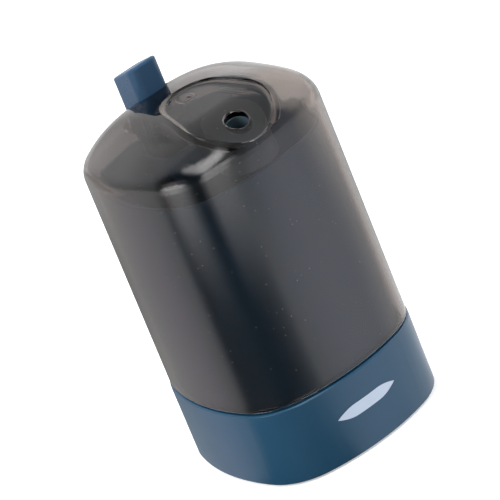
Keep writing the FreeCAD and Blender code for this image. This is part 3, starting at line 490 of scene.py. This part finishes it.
def top_points(shape, rim_loops, extra_loops):
    """Plan points and edges for the top: the rim's loops, the dish's loops and a grid."""
    points, edges = [], []

    def add_loop(loop, keep=None):
        start = len(points)
        points.extend(map(tuple, loop))
        count = len(loop)
        for i in range(count):
            j = (i + 1) % count
            if keep is None or (keep[i] and keep[j]):
                edges.append((start + i, start + j))

    for loop in rim_loops:
        add_loop(loop)
    for loop in extra_loops:
        inside, _, _ = from_edge(loop[:, 0], loop[:, 1])
        keep = inside - shape.inset > rim_margin(shape) + LOOP_MARGIN
        if keep.all():
            add_loop(loop)
        else:
            first = int(np.argmin(keep))
            rolled, keep = np.roll(loop, -first, 0), np.roll(keep, -first)
            add_loop(rolled[keep], np.array([True] * (int(keep.sum()) - 1) + [False]))
    fixed = np.array(points)
    span = np.arange(-HALF, HALF + GRID, GRID)
    gx, gy = np.meshgrid(span, span)
    gx[1::2] += GRID / 2
    gx, gy = gx.ravel(), gy.ravel()
    inside, _, _ = from_edge(gx, gy)
    ok = inside - shape.inset > rim_margin(shape) + GRID_MARGIN
    gx, gy = gx[ok], gy[ok]
    for start in range(0, len(gx), BLOCK):
        block = np.column_stack([gx[start:start + BLOCK], gy[start:start + BLOCK]])
        gap = np.hypot(*(block[:, None, :] - fixed[None, :, :]).transpose(2, 0, 1)).min(1)
        points.extend(map(tuple, block[gap > GRID_GAP]))
    return points, edges


def rim_margin(shape):
    """How far inside the wall the top's plan mesh starts: part of the way up the rim's arc."""
    return shape.rim * (1 - math.cos(math.radians(STRIP_DEGREES[-1])))


def domed_solid(shape, low, name):
    """A closed solid below one of the cover's two surfaces, down to a flat bottom."""
    plan, out = plan_curve(SIDE_STEPS, CORNER_STEPS)
    skin = Skin()
    wall = plan - out * shape.inset
    reach, centre = shape.rim_of(wall[:, 0], wall[:, 1], out[:, 0], out[:, 1])
    flare = math.tan(math.radians(DRAFT))
    up = np.column_stack([out, np.full(len(out), flare)])
    rows, normals = [], []
    for share in np.linspace(0, 1, WALL_ROWS):
        z = low + (centre - low) * share
        inset = shape.inset - (centre - z) * flare
        rows.append(np.column_stack([plan - out * inset[:, None], z]))
        normals.append(up)
    for degrees in STRIP_DEGREES:
        angle = math.radians(degrees)
        deep = shape.rim * (1 - math.cos(angle))
        z = centre + shape.rim * math.sin(angle)
        rows.append(np.column_stack([plan - out * (shape.inset + deep), z]))
        normals.append(np.column_stack([out * math.cos(angle),
                                        np.full(len(out), math.sin(angle))]))
    edge_loop = rows[-1][:, :2]
    rim_loops = [edge_loop]
    for degrees in RIM_DEGREES:
        deep = shape.rim * (1 - math.cos(math.radians(degrees)))
        rim_loops.append(plan - out * (shape.inset + deep))
    egg_loops = UNDERSIDE_LOOPS if shape.lowered else DISH_LOOPS
    extra = [egg_curve(-deep, EGG_STEPS) for deep in egg_loops]
    if not shape.lowered:
        turn = np.linspace(0, 2 * math.pi, GATE_STEPS, endpoint=False)
        for radius in GATE_LOOPS:
            extra.append(np.column_stack([radius * np.cos(turn), radius * np.sin(turn)]))
    points, edges = top_points(shape, rim_loops, extra)
    verts, _, faces, origins, *_ = delaunay_2d_cdt([Vector(p) for p in points], edges, [], 0, 1e-5)
    flat = np.array([(v.x, v.y) for v in verts])
    z = shape.height(flat[:, 0], flat[:, 1])
    top_normals = up_normals(shape.height, flat[:, 0], flat[:, 1])
    top = np.column_stack([flat, z])
    # the plan mesh's own edge takes the strip's last row, so that both weld
    for here, origin in enumerate(origins):
        if origin and min(origin) < len(edge_loop):
            top[here] = rows[-1][min(origin)]
            top_normals[here] = normals[-1][min(origin)]
    middles = flat[np.array(faces)].mean(1)
    inside, _, _ = from_edge(middles[:, 0], middles[:, 1])
    skin.grid(rows, normals)
    for face, deep in zip(faces, inside):
        if deep - shape.inset > rim_margin(shape) - 1e-4:
            a, b, c = (flat[i] for i in face)
            turn = (b[0] - a[0]) * (c[1] - a[1]) - (b[1] - a[1]) * (c[0] - a[0])
            order = face if turn > 0 else face[::-1]
            skin.face([top[i] for i in order], [top_normals[i] for i in order])
    down = (0.0, 0.0, -1.0)
    ring = rows[0]
    middle = np.array([0.0, 0.0, low])
    for c in range(len(ring)):
        d = (c + 1) % len(ring)
        skin.face([ring[d], ring[c], middle], [down] * 3)
    return skin.mesh(name)


OUTSIDE, INSIDE = Dome(0.0), Dome(WALL)
EGG_EDGE = egg_curve(0.0, 240)
EDGE_GAP = OUTSIDE.dome(EGG_EDGE[:, 0], EGG_EDGE[:, 1]) - floor_line(EGG_EDGE[:, 1])
RISE_FIT = np.polyfit(EGG_EDGE[:, 1], EDGE_GAP, 6)


def prism(name, rings):
    """A closed solid through rings of points, with normals square to its side."""
    skin = Skin()
    normals = []
    for number, ring in enumerate(rings):
        along = np.roll(ring, -1, 0) - np.roll(ring, 1, 0)
        upward = rings[min(number + 1, len(rings) - 1)] - rings[max(number - 1, 0)]
        normals.append(np.cross(along, upward))
    skin.grid(rings, normals)
    for ring, sense in ((rings[0], -1.0), (rings[-1], 1.0)):
        middle = ring.mean(0)
        for c in range(len(ring)):
            d = (c + 1) % len(ring)
            pair = (ring[d], ring[c]) if sense < 0 else (ring[c], ring[d])
            skin.face([*pair, middle], [(0, 0, sense)] * 3)
    return skin.mesh(name)


def rounded_block(name, half_x, low_y, high_y, corner, low_z, high_z):
    points = []
    middle_y = (low_y + high_y) / 2
    for cx, cy, start in ((half_x, high_y, 0), (-half_x, high_y, 90), (-half_x, low_y, 180),
                          (half_x, low_y, 270)):
        mx, my = cx - math.copysign(corner, cx), cy - math.copysign(corner, cy - middle_y)
        for angle in np.radians(np.linspace(start, start + 90, 9)):
            points.append((mx + corner * math.cos(angle), my + corner * math.sin(angle)))
    flat = np.array(points)
    return prism(name, [np.column_stack([flat, np.full(len(flat), z)]) for z in (low_z, high_z)])


HOLE_Y, HOLE_R, HOLE_LOW, HOLE_HIGH = -21.7, 3.1, 90.0, 104.0
# how much wider than the bore, and how far from the dish's floor, each ring of the cutter is
HOLE_RINGS = ((0.6, -WALL - 0.26), (0.25, -WALL - 0.06), (0.0, -WALL + 0.29), (0.0, -0.40),
              (0.05, -0.22), (0.2, -0.08), (0.45, 0.01), (0.8, 0.06))


def hole_cutter(name):
    """The outlet's bore, whose two eased edges follow the dish's floor and its underside."""
    turn = np.linspace(0, 2 * math.pi, 72, endpoint=False)
    rings = []
    for wider, depth in HOLE_RINGS:
        x, y = (HOLE_R + wider) * np.cos(turn), HOLE_Y + (HOLE_R + wider) * np.sin(turn)
        rings.append(np.column_stack([x, y, floor_line(y) + depth]))
    first, last = rings[0].copy(), rings[-1].copy()
    first[:, 2], last[:, 2] = HOLE_LOW, HOLE_HIGH
    return prism(name, [first, *rings, last])


def object_of(mesh, name):
    made = bpy.data.objects.new(name, mesh)
    bpy.context.scene.collection.objects.link(made)
    return made


def carved(base, tools):
    """Cut meshes from a mesh.  Every face keeps its source's number as material index."""
    body = object_of(base, "carving")
    helpers = [object_of(mesh, "carving_tool") for mesh in tools]
    for _ in range(len(tools) + 1):
        body.data.materials.append(None)
    for helper in helpers:
        step = body.modifiers.new("step", "BOOLEAN")
        step.solver = "EXACT"
        step.operation = "DIFFERENCE"
        step.object = helper
    graph = bpy.context.evaluated_depsgraph_get()
    made = bpy.data.meshes.new_from_object(body.evaluated_get(graph))
    for item in [body] + helpers:
        bpy.data.objects.remove(item)
    return made


def mark(mesh, number):
    mesh.polygons.foreach_set("material_index", [number] * len(mesh.polygons))


SNAP = 1e-7


def true_normals(mesh, sources):
    """Give each corner the normal of the surface that its face was cut from."""
    trees, corner_normals = [], []
    for source in sources:
        points = [v.co.copy() for v in source.vertices]
        faces = [tuple(p.vertices) for p in source.polygons]
        trees.append(BVHTree.FromPolygons(points, faces))
        corner_normals.append([tuple(n.vector) for n in source.corner_normals])
    found, result = {}, []
    for polygon in mesh.polygons:
        number = polygon.material_index
        source = sources[number]
        facing = np.array(polygon.normal)
        for corner in polygon.vertices:
            key = (corner, number)
            if key not in found:
                spot, _, index, _ = trees[number].find_nearest(mesh.vertices[corner].co)
                face = source.polygons[index]
                weights = []
                for n, other in zip(face.loop_indices, face.vertices):
                    gap = (source.vertices[other].co - spot).length
                    weights.append((1 / (gap + SNAP), corner_normals[number][n]))
                found[key] = sum(w * np.array(v) for w, v in weights)
            normal = found[key] / np.linalg.norm(found[key])
            result.append(tuple(normal if normal @ facing > 0 else -normal))
    mesh.normals_split_custom_set(result)


SLOT_HALF_X, SLOT_FRONT_Y, SLOT_REAR_Y, SLOT_CORNER = 5.3, 14.1, 28.5, 3.4
COLLAR_WALL, COLLAR_LOW, COLLAR_HIGH, SLOT_LOW, SLOT_HIGH = 1.2, 90.5, 116.0, 84.0, 118.0
ROOM_BELOW = 1.5


def smoked_cover():
    """The cover as one shell: outside less room, with a collar round the button's slot."""
    outer = domed_solid(OUTSIDE, COVER_LOW, "outer")
    room = domed_solid(INSIDE, COVER_LOW - ROOM_BELOW, "room")
    collar = rounded_block("collar", SLOT_HALF_X + COLLAR_WALL, SLOT_FRONT_Y - COLLAR_WALL,
                           SLOT_REAR_Y + COLLAR_WALL, SLOT_CORNER, COLLAR_LOW, COLLAR_HIGH)
    slot = rounded_block("slot", SLOT_HALF_X, SLOT_FRONT_Y, SLOT_REAR_Y, SLOT_CORNER, SLOT_LOW,
                         SLOT_HIGH)
    hole = hole_cutter("hole")
    sources = [outer, room, collar, slot, hole]
    kept = [mesh.copy() for mesh in sources]
    for number, mesh in enumerate(kept):
        mark(mesh, number)
    hollow = carved(kept[1], [kept[2]])
    shell = carved(kept[0], [hollow, kept[3], kept[4]])
    true_normals(shell, sources)
    shell.materials.clear()
    mark(shell, 0)
    return object_of(shell, "smoked_cover")


# ------------------------------------------------------------------ putting pieces in place
def dress(piece, material, body, slot, *replaced):
    piece.data.materials.clear()
    piece.data.materials.append(material)
    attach(piece, body)
    if replaced:
        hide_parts(*replaced)


def finish_node(node, material):
    """Give a CAD solid its finish; its own surface normals are kept."""
    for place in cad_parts[node].material_slots:
        place.material = material


class Growth(Graph):
    """A Geometry Nodes tree with named number inputs."""

    def __init__(self, name, sizes):
        self.tree = bpy.data.node_groups.new(name, "GeometryNodeTree")
        self.sizes = sizes
        sockets = self.tree.interface
        for way in ("INPUT", "OUTPUT"):
            sockets.new_socket("Geometry", in_out=way, socket_type="NodeSocketGeometry")
        self.keys = {}
        for size in sizes:
            made = sockets.new_socket(size, in_out="INPUT", socket_type="NodeSocketFloat")
            self.keys[size] = made.identifier
        self.entry = self.tree.nodes.new("NodeGroupInput")

    def named(self, size):
        return Value(self, self.entry.outputs[size])

    def grown(self, name, result, material, places):
        """Run the tree on loose points, in millimetres, and return one plain mesh object."""
        real = self.node("GeometryNodeRealizeInstances", {}, {"Geometry": result})
        done = self.node("GeometryNodeSetMaterial", {}, {"Geometry": real, "Material": material})
        out = self.tree.nodes.new("NodeGroupOutput")
        self.tree.links.new(done.socket, out.inputs["Geometry"])
        seed = bpy.data.meshes.new(name)
        seed.from_pydata([tuple(c * MM for c in p) for p in places], [], [])
        made = object_of(seed, name)
        step = made.modifiers.new("grow", "NODES")
        step.node_group = self.tree
        for size, key in self.keys.items():
            step[key] = self.sizes[size]
        graph = bpy.context.evaluated_depsgraph_get()
        mesh = bpy.data.meshes.new_from_object(made.evaluated_get(graph))
        made.modifiers.clear()
        made.data = mesh
        return made


HEAD_R, HEAD_HEIGHT, SHANK_R, PITCH, ROOT_SHARE, DRIVE = 2.4, 1.3, 1.3, 0.8, 0.82, 0.6
# steps up the head's rounded top: a share of its height, and the scale of the face above
HEAD_STEPS = ((0.16, 0.965), (0.14, 0.92), (0.12, 0.85), (0.08, 0.72))
TIP_SCALE, DRIVE_SPAN = 0.5, 4.4


def screw_set(name, places, length, flip):
    """Pan-head screws with a cross recess and a ridged shank, one at each place."""
    g = Growth(name + "_tree", {"Head radius": HEAD_R * MM, "Head height": HEAD_HEIGHT * MM,
                                "Shank radius": SHANK_R * MM, "Pitch": PITCH * MM,
                                "Drive width": DRIVE * MM})
    height, pitch = g.named("Head height"), g.named("Pitch")

    def turned(sides, radius, first, end, steps):
        """A cylinder whose top or bottom face is drawn out and scaled, step by step."""
        mesh = g.node("GeometryNodeMeshCylinder", {"fill_type": "NGON"},
                      {"Vertices": sides, "Radius": radius, "Depth": first})
        chosen = mesh.sibling(end)
        for rise, scale in steps:
            mesh = g.node("GeometryNodeExtrudeMesh", {"mode": "FACES"},
                          {"Mesh": mesh, "Selection": chosen, "Offset Scale": rise,
                           "Individual": False})
            chosen = mesh.sibling("Top")
            mesh = g.node("GeometryNodeScaleElements", {"domain": "FACE"},
                          {"Geometry": mesh, "Selection": chosen, "Scale": scale})
        return mesh

    def raised(mesh, z):
        return g.node("GeometryNodeTransform", {},
                      {"Geometry": mesh, "Translation": g.vector(z=z)})

    steps = [(height * rise, scale) for rise, scale in HEAD_STEPS]
    head = raised(turned(36, g.named("Head radius"), height * 0.5, "Top", steps), height * 0.25)
    ridge = [(pitch * 0.2, ROOT_SHARE), (pitch * 0.2, 1.0),
             (pitch * 0.3, 1 / ROOT_SHARE), (pitch * 0.3, 1.0)]
    ridges = int(length / PITCH) - 1
    tip = [((length - PITCH * (ridges + 0.5)) * MM, TIP_SCALE)]
    shank = raised(turned(24, g.named("Shank radius"), pitch * 0.5, "Bottom",
                          ridge * ridges + tip), pitch * 0.2)
    screw = g.node("GeometryNodeMeshBoolean", {"operation": "UNION", "solver": "EXACT"},
                   {"Mesh 2": [head, shank]})
    width = g.named("Drive width")
    arms = [raised(g.node("GeometryNodeMeshCube", {}, {"Size": g.vector(long, short, height)}),
                   height)
            for long, short in ((width * DRIVE_SPAN, width), (width, width * DRIVE_SPAN))]
    screw = g.node("GeometryNodeMeshBoolean", {"operation": "DIFFERENCE", "solver": "EXACT"},
                   {"Mesh 1": screw, "Mesh 2": arms})
    twist = g.node("FunctionNodeRandomValue", {"data_type": "FLOAT"},
                   {"Min": 0.0, "Max": math.pi, "Seed": 7}, output=1)
    turn = g.vector(math.pi if flip else 0.0, 0.0, twist)
    spread = g.node("GeometryNodeInstanceOnPoints", {},
                    {"Points": g.named("Geometry"), "Instance": screw, "Rotation": turn})
    return g.grown(name, spread, STEEL, places)


END_CLOSING = 0.6


def coil_spring(name, wire, radius, turns, low, high, centre_y):
    """A compression spring with closed ends, swept along a spiral."""
    g = Growth(name + "_tree", {"Wire radius": wire / 2 * MM, "Coil radius": radius * MM,
                                "Turns": turns, "Height": (high - low - wire) * MM})
    height = g.named("Height")
    spiral = g.node("GeometryNodeCurveSpiral", {},
                    {"Resolution": 40, "Rotations": g.named("Turns"),
                     "Start Radius": g.named("Coil radius"), "End Radius": g.named("Coil radius"),
                     "Height": height})
    along = g.node("GeometryNodeSplineParameter", output=0)
    full_turn = 2 * math.pi
    closer = (along * full_turn).math("SINE") * (-END_CLOSING / full_turn)
    bent = g.node("GeometryNodeSetPosition", {},
                  {"Geometry": spiral, "Offset": g.vector(z=height * closer)})
    ring = g.node("GeometryNodeCurvePrimitiveCircle", {"mode": "RADIUS"},
                  {"Resolution": 14, "Radius": g.named("Wire radius")})
    swept = g.node("GeometryNodeCurveToMesh", {},
                   {"Curve": bent, "Profile Curve": ring, "Fill Caps": True})
    spread = g.node("GeometryNodeInstanceOnPoints", {}, {"Points": g.named("Geometry"),
                                                             "Instance": swept})
    return g.grown(name, spread, STEEL, [(0.0, centre_y, low + wire / 2)])


PRINT_PROUD, PRINT_SUNK, PRINT_TAPER, PRINT_FULLNESS = 0.025, 0.05, 0.62, 0.9


def printed_toothpick(name, length, half_height, middle_z):
    """A flat print of a toothpick with two points, laid on the base's bowed front."""
    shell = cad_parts["base_shell"].data
    tree = BVHTree.FromPolygons([v.co.copy() for v in shell.vertices],
                                [tuple(p.vertices) for p in shell.polygons])
    stations = np.concatenate([np.linspace(-1, -0.64, 10), np.linspace(-0.58, 0.58, 13),
                               np.linspace(0.64, 1, 10)])
    taper = np.clip((1 - np.abs(stations)) / PRINT_TAPER, 0, 1)
    half = half_height * np.sin(taper * math.pi / 2) ** PRINT_FULLNESS
    outline = [(x, h) for x, h in zip(stations * length / 2, half)]
    outline += [(x, -h) for x, h in reversed(outline[1:-1])]
    made = bmesh.new()
    layers = []
    for proud in (PRINT_PROUD, -PRINT_SUNK):
        ring = []
        for x, z in outline:
            start = Vector((x, -2 * HALF, middle_z + z)) * MM
            spot = tree.ray_cast(start, Vector((0, 1, 0)))[0]
            ring.append(made.verts.new(spot + Vector((0, -proud * MM, 0))))
        layers.append(ring)
    count = len(outline)
    last = len(stations) - 1
    for ring in layers:
        for c in range(last):
            around = ((count - c) % count, count - c - 1, c + 1, c)
            corners = [ring[index] for index in dict.fromkeys(around)]
            made.faces.new(corners)
    for c in range(count):
        d = (c + 1) % count
        made.faces.new([layers[0][c], layers[0][d], layers[1][d], layers[1][c]])
    bmesh.ops.recalc_face_normals(made, faces=made.faces)
    mesh = bpy.data.meshes.new(name)
    made.to_mesh(mesh)
    made.free()
    return object_of(mesh, name)


# ------------------------------------------------------------------ the object
dress(smoked_cover(), SMOKE, "cover", "smoked_cover", "cover_shell")
for material, nodes in (
        (BLUE, ("base_shell", "base_plate")), (CONTAINER_BLUE, ("hopper",)),
        (RAMP_BLUE, ("feed_ramp",)), (BUTTON_BLUE, ("button_cap",)),
        (FUNNEL_SLATE, ("outlet_funnel",)), (ROD_GREY, ("push_rod",)),
        (RUBBER, ("foot_front_left", "foot_front_right", "foot_rear_left", "foot_rear_right")),
        (ACETAL, ("rod_bush", "ejector_bush", "lever_bracket", "rocker_lever", "ejector_rod")),
        (STEEL, ("rocker_axle", "ejector_pin", "rod_pin"))):
    for node in nodes:
        finish_node(node, material)

LEVER_Y, ROD_Y = 6.967, 21.3
# the CAD node and the piece, half their distance in x, their places in y, the height of the seat
# under the head, the length below it, and whether the head is underneath
SCREWS = (("base_plate_screws", "plate_screw_set", 18.3, (-18.3, 18.3), 3.2, 8.0, True),
          ("hopper_screws", "container_screw_set", 16.0, (-11.0, 11.0), 21.0, 6.0, True),
          ("bracket_screws", "bracket_screw_set", 12.0, (LEVER_Y,), 7.6, 6.0, False))
for node, name, half_x, rows, seat, length, flip in SCREWS:
    places = [(x, y, seat) for x in (-half_x, half_x) for y in rows]
    dress(screw_set(name, places, length, flip), STEEL, "base", "screw_steel", node)

spring = coil_spring("coil_spring", wire=0.7, radius=3.4, turns=8.0, low=27.0, high=49.95,
                     centre_y=ROD_Y)
dress(spring, STEEL, "base", "spring_steel", "return_spring")
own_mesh(spring)

pictogram = printed_toothpick("toothpick_print", length=20.0, half_height=1.75, middle_z=13.0)
dress(pictogram, PRINT, "base", "blue_plastic")


# ------------------------------------------------------------------ floor, light and camera
def staged(name, corners, material):
    mesh = bpy.data.meshes.new(name)
    mesh.from_pydata(corners, [], [tuple(range(len(corners)))])
    mesh.materials.append(material)
    object_of(mesh, name)


def bearing(x, y):
    """Degrees round the upright axis from the front, positive to the right."""
    return x.math("ARCTAN2", 0 - y) * math.degrees(1)


def distance(x, y):
    return (x * x + y * y).math("SQRT")


def levels(f, angle, *stops):
    """Brightness by bearing, from stops of a bearing, a level and, where it has one, a tint."""
    colours = []
    for degrees, level, *tint in stops:
        parts = TINTS[tint[0]] if tint else (1.0, 1.0, 1.0)
        colours.append(((degrees + 180) / 360, (*(level / PEAK * part for part in parts), 1.0)))
    return f.node("ShaderNodeValToRGB", {"stops": colours}, {0: angle / 360 + 0.5})


PEAK, FAR_SIDE_LOSS, WORLD_LIGHT = 6.5, 0.7, 0.45
BLACK, WHITE = (0.0, 0.0, 0.0, 1.0), (1.0, 1.0, 1.0, 1.0)
TINTS = {"cool": (0.965, 0.985, 1.08), "warm": (1.07, 0.99, 0.93), "lilac": (1.02, 0.97, 1.03)}
# reflections of the floor are centred a little behind the object, and change to the far floor's
FLOOR_SHIFT_X, FLOOR_SHIFT_LEFT, FLOOR_SHIFT_Y = 0.008, 0.012, 0.017
NEAR_FLOOR, FAR_FLOOR, FLOOR_GLOW = 0.13, 0.33, 0.45


def seen_in(f):
    """1 for reflections, also those that leave through clear plastic, and 1 for what is seen
    straight on or through clear plastic, less what lies beyond a second wall of it."""
    camera_ray = f.node("ShaderNodeLightPath")
    through = camera_ray.sibling("Is Transmission Ray")
    unlit = camera_ray.sibling("Diffuse Depth").below(0.5)
    bounced = camera_ray.sibling("Glossy Depth").above(0.5)
    far_side = camera_ray.sibling("Transmission Depth").above(2.5)
    glossy = camera_ray.sibling("Is Glossy Ray") + through * unlit * bounced
    seen = through * unlit * (1 - bounced) * (1 - far_side * FAR_SIDE_LOSS)
    return glossy.clipped(), (camera_ray + seen).clipped()


def pale_floor():
    """A plain pale floor.  Reflections see it lit like the room: dark towards the front."""
    f = Finish("pale_floor")
    glossy, direct = seen_in(f)
    x, y, _ = f.split(f.place())
    beside = 1 - f.rise(bearing(x, y), -80.0, -40.0)
    angle = bearing(x + FLOOR_SHIFT_X + beside * FLOOR_SHIFT_LEFT, y + FLOOR_SHIFT_Y)
    near = levels(f, angle, (-180, 0.35), (-174, 0.5), (-168, 0.6), (-160, 0.72),
                  (-151, 0.85, "lilac"), (-138, 1.0, "lilac"), (-127, 0.98, "lilac"), (-118, 0.82),
                  (-108, 0.52), (-100, 0.25), (-90, 0.13), (-55, 0.12), (-30, 0.05), (-10, 0.10),
                  (-2, 0.35), (2, 0.60), (6, 1.08), (17, 1.35, "cool"), (30, 1.48, "cool"),
                  (42, 1.42, "cool"), (54, 1.28, "cool"), (64, 1.55), (82, 1.25), (97, 1.45),
                  (104, 1.45), (112, 1.2), (120, 0.85), (138, 0.35), (152, 0.20), (166, 0.15),
                  (180, 0.35))
    far = levels(f, angle, (-180, 1.0), (-160, 1.1, "warm"), (-122, 1.3), (-106, 1.05), (-99, 1.3),
                 (-92, 2.5, "warm"), (-82, 3.8), (-70, 4.0), (-60, 3.4), (-52, 2.1), (-45, 0.8),
                 (-38, 0.2), (-28, 0.25), (-20, 1.6), (-14, 3.2), (-6, 3.8), (1, 3.0), (6, 0.9),
                 (12, 0.5), (22, 1.0, "cool"), (34, 1.3, "cool"), (48, 1.1, "cool"),
                 (56, 2.0, "warm"), (63, 2.8, "warm"), (76, 2.9, "warm"), (92, 2.35, "warm"),
                 (112, 1.65), (132, 1.1), (160, 0.7), (180, 1.0))
    room = f.mix(f.rise(distance(x, y), NEAR_FLOOR, FAR_FLOOR), near, far)
    paint = f.node("ShaderNodeBsdfDiffuse", {}, {"Color": (0.80, 0.80, 0.80, 1.0)})
    glow = f.node("ShaderNodeEmission", {}, {
        "Color": f.mix(direct, BLACK, WHITE), "Strength": FLOOR_GLOW})
    mirrored = f.node("ShaderNodeEmission", {}, {"Color": room, "Strength": PEAK})
    lit = f.node("ShaderNodeAddShader", {}, {0: paint, 1: glow})
    return f.surface(f.node("ShaderNodeMixShader", {}, {0: glossy, 1: lit, 2: mirrored}))


def studio_world():
    """White for the camera and clear plastic, a soft level for light, and for reflections a
    dark room in front with a broad lamp overhead, two low lamps and a bright wall at the right."""
    f = Finish("studio", "worlds")
    glossy, direct = seen_in(f)
    x, y, z = f.split(f.node("ShaderNodeTexCoord"))
    turn = bearing(x, y)
    height = z.math("ARCSINE") * math.degrees(1)
    leaning = turn - (height - 24).positive() * 0.6 * f.rise(turn, 0.0, 40.0)
    wall = levels(f, leaning, (-180, 1.1), (-170, 1.2), (-150, 1.15), (-130, 1.15), (-115, 0.7),
                  (-104, 0.25), (-90, 0.09), (12, 0.06), (24, 0.40, "cool"), (34, 0.60, "cool"),
                  (48, 0.75, "cool"), (56, 1.9, "warm"), (64, 2.4, "warm"), (72, 2.5, "warm"),
                  (85, 2.9, "warm"), (95, 2.7, "warm"), (108, 2.4, "warm"), (117, 2.25, "warm"),
                  (128, 2.1, "warm"), (140, 1.9, "warm"), (147, 1.65), (152, 1.2), (157, 1.0),
                  (162, 0.75), (168, 0.88), (180, 1.1))
    rightward = f.rise(turn, 80.0, 105.0) * (1 - f.rise(turn, 141.0, 153.0))
    back_left = f.rise(turn, 152.0, 168.0) + 1 - f.rise(turn, -125.0, -95.0)
    low = (rightward * (1 - f.rise(height, -14.0, 34.0)) * 0.58
           + back_left * (1 - f.rise(height, -2.0, 22.0)) * 0.30)
    wall = f.mix(low, wall, BLACK)
    top_level = (0.60 + back_left * 0.40) / PEAK
    zenith = f.vector(top_level, top_level, top_level)
    behind = (turn - 95).positive() * (1 - f.rise(turn, 156.0, 170.0))
    room = f.mix(f.rise(height + behind * 0.57, 52.0, 66.0), wall, zenith)

    # the lamp overhead, cut off along two slanted lines, then the two low lamps
    above_left = f.rise(height + turn * 0.70 - 7.5, -4.0, 14.0)
    above_right = f.rise(height - turn * 1.545 - 25.4, -10.0, 12.0)
    below_top = 1 - f.rise(height, 60.0, 73.0)
    level = 3.2 + 2.6 * f.rise(turn, -50.0, 0.0) * (1 - f.rise(height, 48.0, 66.0))
    overhead = above_left * above_right * below_top * level
    low_front = ((f.rise(turn, -23.0, -10.0) - f.rise(turn, 1.0, 12.0))
                 * (1 - f.rise(height, 8.0, 21.0)) * 3.6)
    low_left = (1 - f.rise(distance((turn + 73) / 24, (height - 2) / 16), 0.55, 1.25)) * 4.8
    lamps = (overhead + low_front + low_left) / PEAK
    white = f.vector(lamps, lamps, lamps)
    mirrored = f.node("ShaderNodeMix", {"data_type": "RGBA", "blend_type": "ADD"},
                      {0: 1.0, 6: room, 7: white}, output=2)
    plain = f.mix(direct, (WORLD_LIGHT, WORLD_LIGHT, WORLD_LIGHT, 1.0), WHITE)
    sky = f.node("ShaderNodeBackground", {}, {"Color": plain, "Strength": 1.0})
    mirror_sky = f.node("ShaderNodeBackground", {}, {"Color": mirrored, "Strength": PEAK})
    mixed = f.node("ShaderNodeMixShader", {}, {0: glossy, 1: sky, 2: mirror_sky})
    out = f.tree.nodes.new("ShaderNodeOutputWorld")
    f.tree.links.new(mixed.socket, out.inputs["Surface"])
    bpy.context.scene.world = f.owner


def softbox(name, place, aim, width, height, power):
    """A soft lamp that lights surfaces but has no mirror image of its own."""
    lamp = bpy.data.lights.new(name, "AREA")
    lamp.shape = "RECTANGLE"
    lamp.size, lamp.size_y = width, height
    lamp.energy = power
    made = object_of(lamp, name)
    made.location = place
    made.rotation_euler = (Vector(aim) - Vector(place)).to_track_quat("-Z", "Y").to_euler()
    made.visible_glossy = False
    made.visible_transmission = False


studio_world()
FAR = 6.0
staged("floor", [(-FAR, -FAR, 0.0), (FAR, -FAR, 0.0), (FAR, FAR, 0.0), (-FAR, FAR, 0.0)],
       pale_floor())

MIDDLE = (0.0, 0.0, 0.05)
softbox("softbox_left", (-0.55, -0.10, 0.55), MIDDLE, 0.30, 0.45, 4.5)
softbox("softbox_right", (0.60, -0.25, 0.50), MIDDLE, 0.30, 0.40, 3.5)
softbox("softbox_top", (0.05, 0.45, 0.75), MIDDLE, 0.45, 0.30, 4.0)

camera = bpy.data.cameras.new("camera")
camera.lens = 297.4
camera.sensor_width = 36.0
camera.shift_x, camera.shift_y = -0.0056, 0.0216
camera.clip_end = 20.0
eye = object_of(camera, "camera")
AIM_HEIGHT, CAMERA_DISTANCE = 0.0506, 1.1
AZIMUTH, ELEVATION, ROLL = math.radians(-27.0), math.radians(26.09), math.radians(22.34)
back = Vector((math.sin(AZIMUTH) * math.cos(ELEVATION), -math.cos(AZIMUTH) * math.cos(ELEVATION),
               math.sin(ELEVATION)))
right = Vector((math.cos(AZIMUTH), math.sin(AZIMUTH), 0.0))
up = back.cross(right)
across = right * math.cos(ROLL) - up * math.sin(ROLL)
above = right * math.sin(ROLL) + up * math.cos(ROLL)
place = Vector((0.0, 0.0, AIM_HEIGHT)) + back * CAMERA_DISTANCE
eye.matrix_world = Matrix((
    (across.x, above.x, back.x, place.x), (across.y, above.y, back.y, place.y),
    (across.z, above.z, back.z, place.z), (0.0, 0.0, 0.0, 1.0)))
bpy.context.scene.camera = eye
bpy.context.scene.view_settings.view_transform = "Standard"
